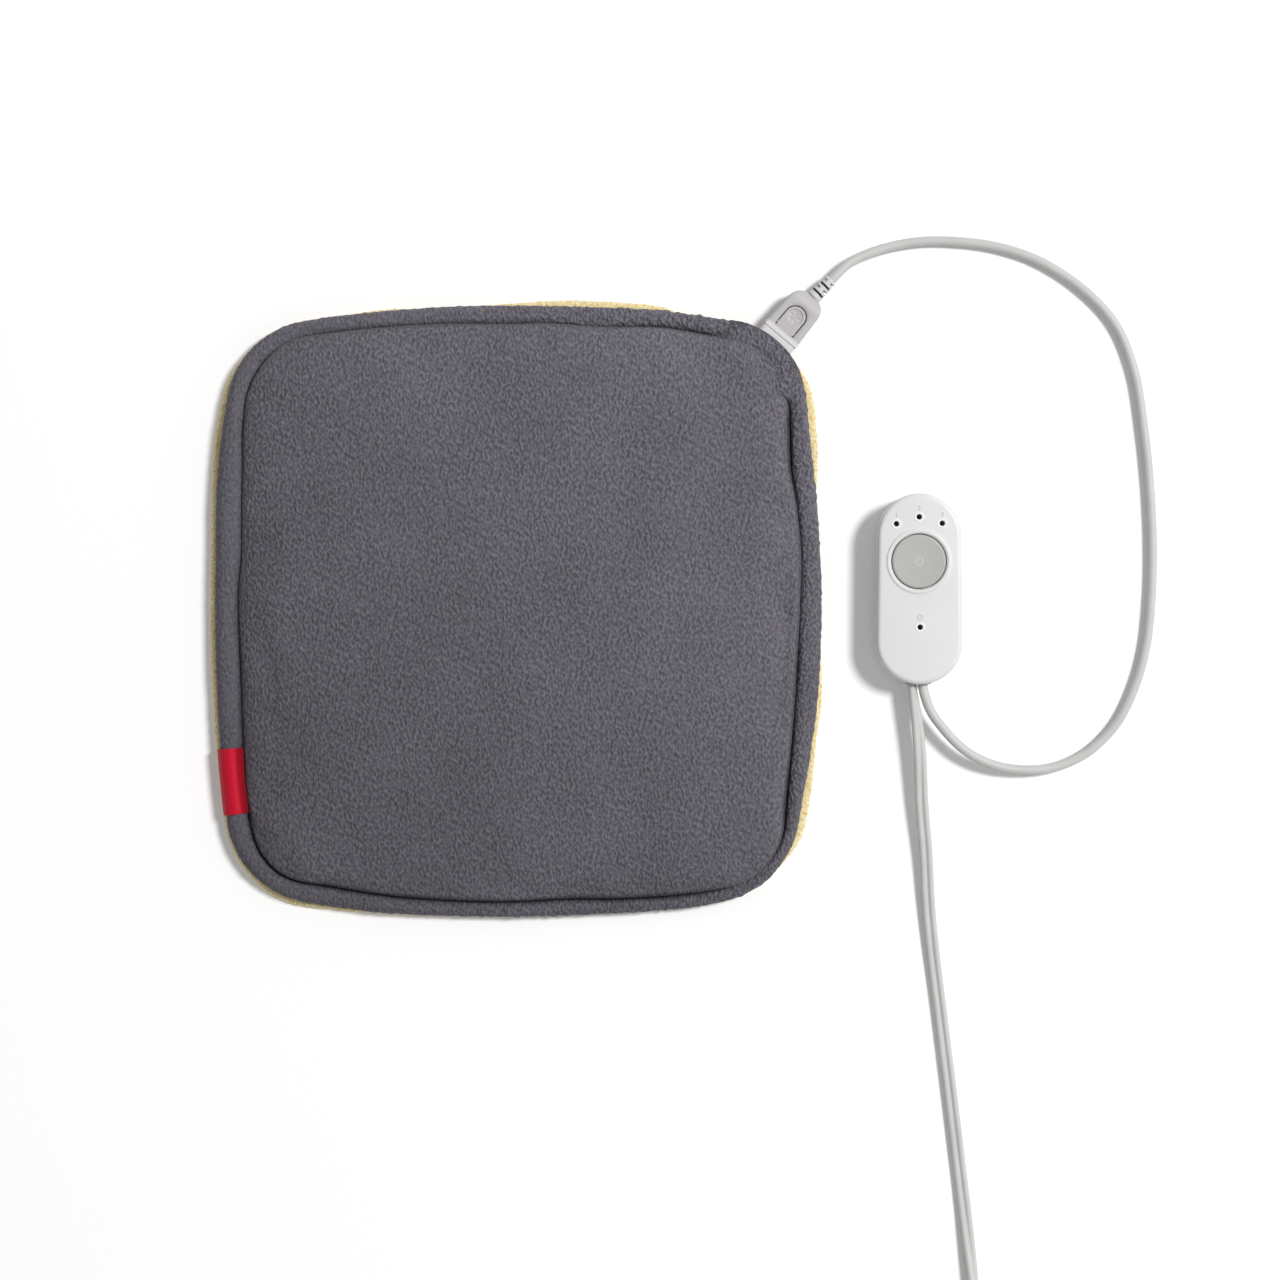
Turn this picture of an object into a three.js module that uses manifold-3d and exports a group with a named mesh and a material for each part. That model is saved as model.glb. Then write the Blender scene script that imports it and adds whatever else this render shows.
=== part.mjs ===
// Heating pad with a hand controller on a lead that unplugs from the pad. Millimetres, +Z up.
// The origin is the middle of the pad, on the surface that everything lies on.
import * as THREE from 'three';
import { mergeVertices } from 'three/addons/utils/BufferGeometryUtils.js';
import Module from 'manifold-3d';

const wasm = await Module();
wasm.setup();

// Clearances
const FIT = 0.3; // gap between pieces that touch
const WADDING_GAP = 0.5; // gap between the wadding and the front cover
const OVERCUT = 5; // how far a cutting tool reaches past the face that it cuts
const EMBED = 0.5; // how far a joined part reaches into what it is joined to

// Pad outline: a square with bowed sides and round corners
const PAD_HALF = 152.4;
const SIDE_RADIUS = 790;
const CORNER_RADIUS = 46;
const SIDE_STEPS = 5;
const CORNER_STEPS = 12;
const FRONT_SHIFT = [0, -1];
const BACK_SHIFT = [0.9, -0.15];
const BACK_REVEAL = 1.6; // how far the back reaches past the front all round

// Pad thicknesses, from the surface up
const BACK_THICKNESS = 3;
const BACK_EDGE_ROUND = 2;
const BACK_EDGE_STEPS = 4;
const SHEET_THICKNESS = 1.2;
const WIRE_DIAMETER = 2.4;
const WADDING_EDGE = 2.1; // wadding thickness at the panel's shoulder
const SKIN = 3; // front fleece over the panel
const CROWN_RISE = 4.4; // rise of the panel from its shoulder to its middle
const CROWN_RINGS = [0.8, 0.55, 0.28];

// Border of the front cover, outside the seam
const BORDER_WIDTH = 11.5;
const BORDER_THICKNESS = 5.3;
const BORDER_EDGE = 1.8; // height of the border's outer edge over its underside
const BORDER_SHARES = [0, 0.17, 0.5, 0.85];
const BORDER_TUCK = 1; // how far the border's underside is drawn in from its edge
const CHANNEL_THICKNESS = 2.7; // fleece left under the seam
const SHOULDER_WIDTH = 12.5;
const SHOULDER_SHARES = [0.16, 0.45, 1];
const UNDER_SHARES = [0, 0.3, 1];
const CORE_MARGIN = 5.5; // from the cavity's wall to the heating core

// Heating wire
const RUN_COUNT = 8;
const RUN_SIDE_MARGIN = 34.4; // from the core's edge to the outer runs
const RUN_END_MARGIN = 22.4; // from the core's edge to the half turns' middles
const TURN_STEPS = 6;
const THERMOSTAT_WIDTH = 7;
const THERMOSTAT_LENGTH = 15;
const FEED_DIAMETER = 1.8;
const FEED_STEPS = { start: 6, end: 16 };
const FEED_MARGIN = 6.4; // from the core's edge to the feed that returns along it

// Red tag round the left border
const TAG_WIDTH = 33;
const TAG_THICKNESS = 0.7;
const TAG_FROM_BOTTOM = 65.4;
const TAG_END_SHARE = 0.85; // share of the border's width that the tag covers

// Connector: the socket's axis stands square to the top right corner
const CONNECTOR_ANGLE = THREE.MathUtils.degToRad(50);
const CONTACT_COUNT = 4;
const CONTACT_PITCH = 3.4;
const PIN_RADIUS = 0.5;
const CONTACT_WALL = 0.35;
const NOSE_WALL = 0.4;
const NOSE_REACH = 12; // how far the plug's nose goes into the socket
const PIN_REACH = 8.4; // how far the pins stand into the socket
const SOCKET_DEPTH = 18;
const SOCKET_COLLAR = 2.5; // how far the socket shows outside the pad
const SOCKET_SIDE_WALL = 2;
const SOCKET_ROOF = 0.9;
const SOCKET_FLOOR_WALL = 0.85;
const LEDGE_WIDTH = 1.4;
const LEDGE_THICKNESS = 0.5;
const CATCH_RIB = 0.25;
const CATCH_LENGTH = 1;
const COVER_ROOF = 2.2; // fleece over the socket
const BUMP_MARGIN = 6;
const BUMP_FALL = 16;

// Plug
const PLUG_BOTTOM = 0.6;
const PLUG_LENGTH = 28.7; // from the pad's edge
const PLUG_WIDTH_FRONT = 20.3;
const PLUG_WIDTH_BACK = 17.6;
const PLUG_END_ROUND = 7;
const PLUG_ROUND_STEPS = 6;
const PLUG_BEVEL = 1.4;
const PLUG_BRIDGE = 0.95; // shell over the latch's arm
const INSERT_BACK = 14; // how far the contact carrier reaches into the plug

// Latch
const LATCH_RADIUS = 5.3;
const LATCH_GROOVE = 0.45;
const LATCH_END_X = 15; // centre of the round end and of the thumb dimple
const LATCH_FRONT_X = 6.2;
const LATCH_PIVOT_X = 8;
const LATCH_THICKNESS = 1.5;
const LATCH_SINK = 0.3;
const LATCH_ARM_HALF = 3.4;
const LATCH_ARM_THICKNESS = 0.8;
const LATCH_REACH = 6; // how far the arm goes into the socket
const LATCH_WING_LENGTH = 2.2;
const LATCH_SWING = THREE.MathUtils.degToRad(3.5);
const STUB_RADIUS = 0.8;
const STUB_LENGTH = 1.3;
const DIMPLE_RADIUS = 3.8;
const DIMPLE_DEPTH = 0.6;
const DIMPLE_SIDES = 20;

// Slotted boot of the plug
const BOOT_LENGTH = 12.5;
const BOOT_ROOT_RADIUS = 3.9;
const BOOT_TIP_RADIUS = 3.1;
const BOOT_FLANGE_RADIUS = 4.6;
const BOOT_FLANGE = 1.6;
const BOOT_NECK = 1.4;
const BOOT_YAW = THREE.MathUtils.degToRad(-6);
const BOOT_SLOTS = 4;
const BOOT_SLOT = 1.2;
const BOOT_SLOT_PITCH = 2.5;
const BOOT_FIRST_SLOT = 2.6;
const BOOT_CORE_HALF = 1.3;

// Leads
const PAD_LEAD_DIAMETER = 4.8;
const PAD_LEAD_SIDES = 8;
const PAD_LEAD_STEPS = 64;
const MAINS_WIDTH = 6.6; // flat two-core lead
const MAINS_THICKNESS = 3.3;
const MAINS_SIDES = 8;
const MAINS_STEPS = 44;
const MAINS_FLAT_FROM = 0.22; // share of the run where the lead has rolled flat
const MAINS_ROLL_FROM = 0.72; // share of the run where it starts to roll on edge again

// Controller
const PAD_TO_CONTROLLER = 26.9;
const CONTROLLER_Y = 9.7;
const CONTROLLER_HALF_WIDTH = 21.2; // at the middle of its length
const CONTROLLER_TAPER = 0.012; // how fast the half width grows towards the lower end
const CONTROLLER_HALF_LENGTH = 47.5;
const CONTROLLER_HEIGHT = 19.5;
const CONTROLLER_WALL = 2;
const PARTING_Z = 8.6;
const TOP_EDGE_ROUND = 2.8;
const TOP_EDGE_STEPS = 5;
const BOTTOM_EDGE_ROUND = 3.2;
const BOTTOM_EDGE_STEPS = 4;
const END_STEPS = 16;

// Controller's inner pieces
const BOARD_THICKNESS = 1.6;
const BOARD_Z = 8.3;
const BOARD_SIDE_GAP = 2.45;
const BOARD_END_GAP = 7.5;
const BOARD_CORNER = 14;
const SCREW_FROM_SIDE = 7.65;
const SCREW_FROM_TOP = 20.5;
const SCREW_FROM_BOTTOM = 19.5;
const SCREW_RADIUS = 1;
const SCREW_HEAD_RADIUS = 2.1;
const SCREW_HEAD = 1.5;
const SCREW_SINK = 0.8;
const SCREW_LENGTH = 12.5;
const POST_WALL = 1;
const BOSS_WALL = 1.3;
const SWITCH_SIZE = 6.2;
const PLUNGER_RADIUS = 1.6;

// Parts on the board: sizes across, along and up, and places across and from the board's lower end
const TRIAC = { size: [10, 15, 4.5], at: [8.5, 29] };
const CAPACITOR = { size: [6, 13], at: [-9, 29] }; // as high as the pressed button leaves room for
const FUSE = { size: [4, 8.5, 4], at: [-7.5, 15] };
const MICROCONTROLLER = { size: [5, 6, 1.75], at: [8, 16] };

// Button and indicator lights, placed across from the middle and along from the controller's ends
const BUTTON_X = -0.45;
const BUTTON_FROM_TOP = 33.9;
const BUTTON_RADIUS = 13.4;
const BUTTON_SIDES = 28;
const BUTTON_TRAVEL = 1.2;
const BUTTON_PROUD = 0.2;
const BUTTON_DISH = 0.4;
const BUTTON_EDGE = 0.4;
const BUTTON_FLANGE = 1.2; // how far the flange reaches past the cap
const BUTTON_FLANGE_THICKNESS = 1;
const STEM_RADIUS = 2.5;
const STEM_LENGTH = 1.1;
const BEZEL_WIDTH = 2.3;
const BEZEL_DEPTH = 0.8;
const LED_RADIUS = 1.45;
const LED_SINK = 0.3;
const LED_DOME = 0.6;
const LED_SIDES = 8;
const LED_FROM_TOP = { led_low: [-11.6, 15.25], led_medium: [-0.35, 11.8], led_high: [11.05, 15] };
const LED_FROM_BOTTOM = { led_timer: [0.1, 28.4] };

// Where the leads come out of the controller's lower end
const EXIT_Z = 9.3;
const PAD_LEAD_EXIT_X = 2.2;
const MAINS_EXIT_X = -3.1;
const GROMMET_WALL = 1.1;
const GROMMET_FLANGE = 1.3;
const GROMMET_FLANGE_THICKNESS = 1.2;
const LEAD_INSIDE = 6.5; // how far the leads reach inside the controller's end

// Coil of the mains lead: the flat lead stands on edge, wound in on one layer and out on the next
const COIL_TURNS = 8.27;
const COIL_INNER_RADIUS = 28.5;
const COIL_TURN_GAP = 0.9;
const COIL_LAYER_GAP = 0.8;
const COIL_DIP = 1.8; // how far the reversing half turn dips in
const COIL_STEPS = 24;
const COIL_RUN_LEVEL = 17;
const COIL_RUN_DROP = 22;
const COIL_RUN_STEPS = 10;
const GAP_POINTS = 4; // points along each side of the section where the coil's gap is measured
const TIE_THICKNESS = 0.8;
const TIE_WIDTH = 9;
const TIE_ANGLE = THREE.MathUtils.degToRad(150);

// Mains plug
const MAINS_PLUG_WIDTH = 26;
const MAINS_PLUG_HEIGHT = 17;
const MAINS_PLUG_LENGTH = 32;
const MAINS_PLUG_SHOULDER = 12;
const MAINS_PLUG_SHARES = [0, 0.35, 0.7, 1];
const MAINS_PLUG_CORNER = 5;
const MAINS_BOOT_LENGTH = 26;
const MAINS_BOOT_RIBS = 5;
const MAINS_BOOT_WALL = 1.2;
const MAINS_BOOT_FLARE = 2.4;
const MAINS_BOOT_GROOVE = 0.9;
const MAINS_BOOT_GROOVE_WIDTH = 1.7;
const ROUND_SHARE = 0.8; // corner radius of the boot as a share of its half height
const ROUND_STEPS = 3;
const BLADE = { width: 6.35, thickness: 1.5, length: 18, pitch: 12.7 };

// Route of the round lead from the plug's boot to the controller, across the surface
const PAD_LEAD_LIE = PAD_LEAD_DIAMETER / 2 + 0.1;
const PAD_LEAD_ROUTE = [
  [166.5, 173.2, 5], [181.8, 180, 3.4], [201.5, 184, PAD_LEAD_LIE],
  [221.5, 184, PAD_LEAD_LIE], [241.5, 181.2, PAD_LEAD_LIE], [262, 174.2, PAD_LEAD_LIE],
  [283, 160.7, PAD_LEAD_LIE], [299.5, 143.2, PAD_LEAD_LIE], [309.2, 120, PAD_LEAD_LIE],
  [314.3, 89.2, PAD_LEAD_LIE], [317.3, 59.2, PAD_LEAD_LIE], [318.5, 29.2, PAD_LEAD_LIE],
  [317.8, 4.2, PAD_LEAD_LIE], [315, -20.3, PAD_LEAD_LIE], [309.2, -40.3, PAD_LEAD_LIE],
  [300, -58.2, PAD_LEAD_LIE], [285.2, -72.5, PAD_LEAD_LIE], [266.8, -80, 3.7],
  [246.5, -80.2, 6], [232, -75.8, 8], [221.6, -69.1, 9], [211, -57.6, 9.4],
  [206.5, -50.8, 9.4], [203.9, -43.8, 9.35],
];

// Route of the flat lead from the controller to its coil
const MAINS_LIE = MAINS_THICKNESS / 2 + 0.1;
const MAINS_ROUTE = [
  [198, -42.9, 9.2], [199.2, -50.8, 9], [200.5, -61.8, 8.6], [201.5, -73.8, 8],
  [202.6, -97.8, 6.4], [204.7, -121.8, 4.7], [206, -145.8, 3.2], [208.2, -169.8, 2.2],
  [211.2, -193.8, MAINS_LIE], [214.2, -217.8, MAINS_LIE], [217.2, -242, MAINS_LIE],
  [220.1, -266, MAINS_LIE], [223, -290, MAINS_LIE], [225.9, -314, 2], [228.7, -338, 2.6],
  [231.5, -362, 3.6],
];
const MAINS_ROUTE_END = [234, -384];

// Heights and places worked out from the sizes
const CORE_Z = BACK_THICKNESS + FIT;
const WIRE_Z = CORE_Z + SHEET_THICKNESS + FIT + WIRE_DIAMETER / 2;
const UPPER_SHEET_Z = WIRE_Z + WIRE_DIAMETER / 2 + FIT;
const WADDING_Z = UPPER_SHEET_Z + SHEET_THICKNESS + FIT;
const SHOULDER_Z = WADDING_Z + WADDING_EDGE + WADDING_GAP + SKIN;
const CHANNEL_Z = CORE_Z + CHANNEL_THICKNESS;
const CORE_INSET = BORDER_WIDTH + SKIN + CORE_MARGIN;
const CORE_HALF = PAD_HALF - CORE_INSET;
const RUN_PITCH = 2 * (CORE_HALF - RUN_SIDE_MARGIN) / (RUN_COUNT - 1);
const RUN_HALF = CORE_HALF - RUN_END_MARGIN - RUN_PITCH / 2;
const FEED_RETURN_Y = CORE_HALF - FEED_MARGIN + FRONT_SHIFT[1];
const TAG_MIDDLE_Y = TAG_FROM_BOTTOM - PAD_HALF;
const CONTACT_INNER = PIN_RADIUS + FIT;
const CONTACT_RADIUS = CONTACT_INNER + CONTACT_WALL;
const CONTACT_BORE = CONTACT_RADIUS + FIT;
const NOSE_HALF_HEIGHT = CONTACT_BORE + NOSE_WALL;
const NOSE_HALF_WIDTH = (CONTACT_COUNT - 1) * CONTACT_PITCH / 2 + CONTACT_BORE + NOSE_WALL;
const CAVITY_FLOOR = CORE_Z + SOCKET_FLOOR_WALL;
const CONTACT_Z = CAVITY_FLOOR + FIT + NOSE_HALF_HEIGHT;
const NOSE_TOP = CONTACT_Z + NOSE_HALF_HEIGHT;
const CAVITY_HALF_WIDTH = NOSE_HALF_WIDTH + FIT + LEDGE_WIDTH / 2;
const LEDGE_TOP = NOSE_TOP + FIT + LEDGE_THICKNESS;
const ARM_Z = LEDGE_TOP + CATCH_RIB + FIT;
const ARM_TOP = ARM_Z + LATCH_ARM_THICKNESS;
const MOUTH_X = SOCKET_COLLAR;
const PLUG_FRONT_X = MOUTH_X + FIT;
const ARM_LIFT = (LATCH_PIVOT_X - MOUTH_X + LATCH_REACH) * Math.sin(LATCH_SWING);
const CAVITY_TOP = ARM_TOP + ARM_LIFT + FIT / 2;
const SOCKET_TOP = CAVITY_TOP + SOCKET_ROOF;
const SOCKET_HALF_WIDTH = CAVITY_HALF_WIDTH + SOCKET_SIDE_WALL;
const BRIDGE_Z = ARM_TOP + (LATCH_PIVOT_X - PLUG_FRONT_X) * Math.sin(LATCH_SWING) + FIT;
const PLUG_TOP = BRIDGE_Z + PLUG_BRIDGE;
const TONGUE_TOP = PLUG_TOP - LATCH_SINK;
const BOOT_START = BOOT_FLANGE + BOOT_NECK + PLUG_BEVEL + FIT; // from the boot's root to its showing part
const BOARD_TOP = BOARD_Z + BOARD_THICKNESS;
const PARTS_Z = BOARD_TOP + FIT;
const CEILING_Z = CONTROLLER_HEIGHT - CONTROLLER_WALL;
const BUTTON_HOLE = BUTTON_RADIUS + FIT;
const BUTTON_FLANGE_RADIUS = BUTTON_RADIUS + BUTTON_FLANGE;
const BUTTON_FLANGE_TOP = CEILING_Z - FIT;
const BUTTON_BOTTOM = BUTTON_FLANGE_TOP - BUTTON_FLANGE_THICKNESS;
const STEM_BOTTOM = BUTTON_BOTTOM - STEM_LENGTH;
const SWITCH_TOP = STEM_BOTTOM - BUTTON_TRAVEL - FIT / 2;
const PLUNGER_TOP = STEM_BOTTOM - FIT;
const PLUNGER_BOTTOM = PARTS_Z + FIT + BUTTON_TRAVEL + FIT;
const CAPACITOR_HEIGHT = BUTTON_BOTTOM - BUTTON_TRAVEL - FIT - PARTS_Z;
const CONTROLLER_PLACE = [PAD_HALF + PAD_TO_CONTROLLER + CONTROLLER_HALF_WIDTH, CONTROLLER_Y];
const BUTTON_PLACE = [BUTTON_X, CONTROLLER_HALF_LENGTH - BUTTON_FROM_TOP];
const BOARD_HALF_WIDTH = CONTROLLER_HALF_WIDTH - CONTROLLER_WALL - BOARD_SIDE_GAP;
const BOARD_HALF_LENGTH = CONTROLLER_HALF_LENGTH - CONTROLLER_WALL - BOARD_END_GAP;
const SCREW_X = CONTROLLER_HALF_WIDTH - SCREW_FROM_SIDE;
const SCREW_PLACES = [-1, 1].flatMap((side) => [
  [side * SCREW_X, CONTROLLER_HALF_LENGTH - SCREW_FROM_TOP],
  [side * SCREW_X, SCREW_FROM_BOTTOM - CONTROLLER_HALF_LENGTH],
]);
const COIL_Z = TIE_THICKNESS + FIT + MAINS_WIDTH / 2;
const COIL_PITCH = MAINS_THICKNESS + COIL_TURN_GAP;
const COIL_LAYER = MAINS_WIDTH + COIL_LAYER_GAP;
const COIL_LAYER_TURNS = (COIL_TURNS - 0.5) / 2;
const COIL_OUTER_RADIUS = COIL_INNER_RADIUS + COIL_PITCH * COIL_LAYER_TURNS;
const MAINS_PLUG_Z = MAINS_PLUG_HEIGHT / 2;

// Turns a geometry into a closed solid that can be cut and joined
function solid(geometry) {
  const bare = geometry.clone();
  bare.deleteAttribute('normal');
  bare.deleteAttribute('uv');
  const merged = mergeVertices(bare, 1e-4);
  const vertProperties = new Float32Array(merged.attributes.position.array);
  const triVerts = new Uint32Array(merged.index.array);
  return new wasm.Manifold(new wasm.Mesh({ numProp: 3, vertProperties, triVerts }));
}

// Turns a solid back into a geometry
function geometryOf(body) {
  const mesh = body.getMesh();
  const geometry = new THREE.BufferGeometry();
  geometry.setAttribute('position', new THREE.BufferAttribute(new Float32Array(mesh.vertProperties), 3));
  geometry.setIndex(new THREE.BufferAttribute(new Uint32Array(mesh.triVerts), 1));
  geometry.computeVertexNormals();
  return geometry;
}

function cut(geometry, ...tools) {
  return geometryOf(tools.reduce((body, tool) => body.subtract(solid(tool)), solid(geometry)));
}

function join(geometry, ...others) {
  return geometryOf(others.reduce((body, other) => body.add(solid(other)), solid(geometry)));
}

// Box between two corners
function block(low, high) {
  const size = high.map((value, axis) => value - low[axis]);
  const middle = high.map((value, axis) => (value + low[axis]) / 2);
  return new THREE.BoxGeometry(...size).translate(...middle);
}

// Upright cylinder between two heights
function post(radius, x, y, low, high, sides = 16) {
  return new THREE.CylinderGeometry(radius, radius, high - low, sides)
    .rotateX(Math.PI / 2)
    .translate(x, y, (low + high) / 2);
}

// Cylinder along X between two places
function rod(radius, y, z, from, to, sides = 12) {
  return new THREE.CylinderGeometry(radius, radius, to - from, sides)
    .rotateZ(Math.PI / 2)
    .translate((from + to) / 2, y, z);
}

// Solid of revolution about an upright axis, from points of radius and height
function turned(points, x, y, sides) {
  const profile = points.map(([radius, height]) => new THREE.Vector2(radius, height));
  return new THREE.LatheGeometry(profile, sides).rotateX(Math.PI / 2).translate(x, y, 0);
}

// Closed skin through rings of points, from one pole to the other, with its faces turned outwards
function loft(firstPole, rings, lastPole) {
  const points = [firstPole, ...rings.flat(), lastPole];
  const count = rings[0].length;
  const last = points.length - 1;
  const faces = [];
  for (let place = 0; place < count; place += 1) {
    const next = (place + 1) % count;
    faces.push([0, 1 + place, 1 + next]);
    for (let ring = 0; ring < rings.length - 1; ring += 1) {
      const start = 1 + ring * count;
      faces.push([start + place, start + count + place, start + next]);
      faces.push([start + next, start + count + place, start + count + next]);
    }
    faces.push([last, last - count + next, last - count + place]);
  }
  let volume = 0;
  const normal = new THREE.Vector3();
  for (const [a, b, c] of faces) {
    volume += points[a].dot(normal.crossVectors(points[b], points[c]));
  }
  const order = volume > 0 ? faces : faces.map(([a, b, c]) => [a, c, b]);
  const geometry = new THREE.BufferGeometry().setFromPoints(points);
  geometry.setIndex(order.flat());
  geometry.computeVertexNormals();
  return geometry;
}

// Flat polygon with its points on an ellipse
function ellipse(halfWidth, halfHeight, sides) {
  const points = [];
  for (let side = 0; side < sides; side += 1) {
    const angle = side * 2 * Math.PI / sides;
    points.push([halfWidth * Math.cos(angle), halfHeight * Math.sin(angle)]);
  }
  return points;
}

// Rings of a section carried along a path. A roll of zero keeps the section's first axis level.
function sectionRings(path, section, rolls) {
  const up = new THREE.Vector3(0, 0, 1);
  return path.map((point, place) => {
    const before = path[Math.max(place - 1, 0)];
    const after = path[Math.min(place + 1, path.length - 1)];
    const ahead = after.clone().sub(before).normalize();
    const level = ahead.clone().cross(up).normalize();
    const rise = level.clone().cross(ahead);
    const turn = rolls[place];
    const first = level.clone().multiplyScalar(Math.cos(turn)).addScaledVector(rise, Math.sin(turn));
    const second = rise.clone().multiplyScalar(Math.cos(turn)).addScaledVector(level, -Math.sin(turn));
    return section.map(([a, b]) => point.clone().addScaledVector(first, a).addScaledVector(second, b));
  });
}

function sweep(path, section, rolls) {
  return loft(path[0], sectionRings(path, section, rolls), path[path.length - 1]);
}

// Round tube along a smooth curve through points
function tube(points, diameter, sides, steps) {
  const outline = ellipse(diameter / 2, diameter / 2, sides).map(([a, b]) => new THREE.Vector2(a, b));
  const extrudePath = new THREE.CatmullRomCurve3(points, false, 'centripetal');
  const options = { steps, extrudePath, bevelEnabled: false };
  return new THREE.ExtrudeGeometry(new THREE.Shape(outline), options);
}

function vectors(points) {
  return points.map(([x, y, z]) => new THREE.Vector3(x, y, z));
}

const model = new THREE.Group();

function addPiece(parent, name, geometry, color, roughness = 0.6, metalness = 0) {
  const material = new THREE.MeshStandardMaterial({ color, roughness, metalness });
  const mesh = new THREE.Mesh(geometry, material);
  mesh.name = name;
  parent.add(mesh);
}

const GREY_FLEECE = '#5f5d64';
const YELLOW_FLEECE = '#e6bd62';
const CAPACITOR_YELLOW = '#d9a93f';
const TAG_RED = '#c3182c';
const FELT = '#dcd8cd';
const WIRE_WHITE = '#e8e4da';
const PLUG_GREY = '#b7b5b6';
const COLLAR_GREY = '#d3d1d3';
const LEAD_GREY = '#cbcac7';
const SHELL_WHITE = '#ececec';
const BUTTON_GREY = '#bdbcb9';
const DARK = '#191919';
const BOARD_GREEN = '#2e6b45';
const PLATED = '#c9b878';
const STEEL = '#a9abad';

// Distance of a corner arc's centre from the pad's middle, alike along X and Y
function cornerPlace() {
  const reach = SIDE_RADIUS - PAD_HALF;
  const span = SIDE_RADIUS - CORNER_RADIUS;
  return (Math.sqrt(2 * span * span - reach * reach) - reach) / 2;
}

// Pad outline moved in by an inset: each quarter is a bowed side and then a round corner
function padRing(inset, shift, z) {
  const place = cornerPlace();
  const reach = SIDE_RADIUS - PAD_HALF;
  const turn = Math.atan2(place, place + reach);
  const middle = new THREE.Vector2();
  const ring = [];
  const addArc = (quarter, x, y, radius, from, to, steps) => {
    for (let step = 0; step < steps; step += 1) {
      const angle = from + (to - from) * step / steps;
      const point = new THREE.Vector2(x + radius * Math.cos(angle), y + radius * Math.sin(angle));
      point.rotateAround(middle, quarter * Math.PI / 2);
      ring.push(new THREE.Vector3(point.x + shift[0], point.y + shift[1], z));
    }
  };
  for (let quarter = 0; quarter < 4; quarter += 1) {
    addArc(quarter, -reach, 0, SIDE_RADIUS - inset, -turn, turn, SIDE_STEPS);
    addArc(quarter, place, place, CORNER_RADIUS - inset, turn, Math.PI / 2 - turn, CORNER_STEPS);
  }
  return ring;
}

// Shoulder ring of the panel drawn in towards the pad's middle
function crownRing(share, z) {
  const middle = new THREE.Vector3(FRONT_SHIFT[0], FRONT_SHIFT[1], 0);
  return padRing(BORDER_WIDTH + SHOULDER_WIDTH, FRONT_SHIFT, 0).map((point) => {
    const drawn = point.sub(middle).multiplyScalar(share).add(middle);
    return drawn.setZ(z);
  });
}

function crownHeight(share) {
  return SHOULDER_Z + CROWN_RISE * (1 - share * share);
}

function frontMiddle(z) {
  return new THREE.Vector3(FRONT_SHIFT[0], FRONT_SHIFT[1], z);
}

// Frame of the connector: X along the plug's axis from the pad's edge outwards
const connectorPlace = new THREE.Vector3(
  cornerPlace() + FRONT_SHIFT[0] + CORNER_RADIUS * Math.cos(CONNECTOR_ANGLE),
  cornerPlace() + FRONT_SHIFT[1] + CORNER_RADIUS * Math.sin(CONNECTOR_ANGLE),
  0,
);

function toPad(geometry) {
  return geometry.rotateZ(CONNECTOR_ANGLE).translate(connectorPlace.x, connectorPlace.y, 0);
}

// Height that the front cover needs at a point to pass over the socket
function bumpHeight(point) {
  const local = point.clone().setZ(0).sub(connectorPlace);
  local.applyAxisAngle(new THREE.Vector3(0, 0, 1), -CONNECTOR_ANGLE);
  const aside = Math.max(Math.abs(local.y) - SOCKET_HALF_WIDTH - BUMP_MARGIN, 0);
  const behind = Math.max(-SOCKET_DEPTH - BUMP_MARGIN - local.x, 0);
  const fade = 1 - THREE.MathUtils.smoothstep(Math.hypot(aside, behind), 0, BUMP_FALL);
  return (SOCKET_TOP + FIT + COVER_ROOF) * fade;
}

function overSocket(ring) {
  return ring.map((point) => point.setZ(Math.max(point.z, bumpHeight(point))));
}

// Inset and height of the border's top at a share of its width: an arch from the edge to the seam
function borderPoint(share) {
  const arch = Math.sqrt(Math.sin(Math.PI * share));
  return [BORDER_WIDTH * share, CORE_Z + BORDER_EDGE + (BORDER_THICKNESS - BORDER_EDGE) * arch];
}

// Share of a rise reached at a share of its width, along a quarter of an ellipse
function quarterRise(share) {
  return Math.sqrt(1 - (1 - share) ** 2);
}

function coverFront() {
  const border = [...BORDER_SHARES.map(borderPoint), [BORDER_WIDTH, CHANNEL_Z]];
  const shoulder = SHOULDER_SHARES.map((share) => [
    BORDER_WIDTH + SHOULDER_WIDTH * share,
    CHANNEL_Z + (SHOULDER_Z - CHANNEL_Z) * quarterRise(share),
  ]);
  const under = UNDER_SHARES.map((share) => [
    BORDER_WIDTH + SKIN + (SHOULDER_WIDTH - SKIN) * share,
    CORE_Z + (SHOULDER_Z - SKIN - CORE_Z) * quarterRise(share),
  ]);
  const top = [...border, ...shoulder].reverse();
  const underside = [[BORDER_TUCK, CORE_Z], ...under];
  const rings = [
    ...[...CROWN_RINGS].reverse().map((share) => crownRing(share, crownHeight(share))),
    ...top.map(([inset, z]) => overSocket(padRing(inset, FRONT_SHIFT, z))),
    ...underside.map(([inset, z]) => padRing(inset, FRONT_SHIFT, z)),
    ...CROWN_RINGS.map((share) => crownRing(share, crownHeight(share) - SKIN)),
  ];
  const cover = loft(frontMiddle(crownHeight(0)), rings, frontMiddle(crownHeight(0) - SKIN));
  const half = SOCKET_HALF_WIDTH + FIT;
  const tunnel = block(
    [-SOCKET_DEPTH - FIT, -half, CORE_Z - OVERCUT],
    [SOCKET_COLLAR + OVERCUT, half, SOCKET_TOP + FIT],
  );
  return cut(cover, toPad(tunnel));
}

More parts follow.
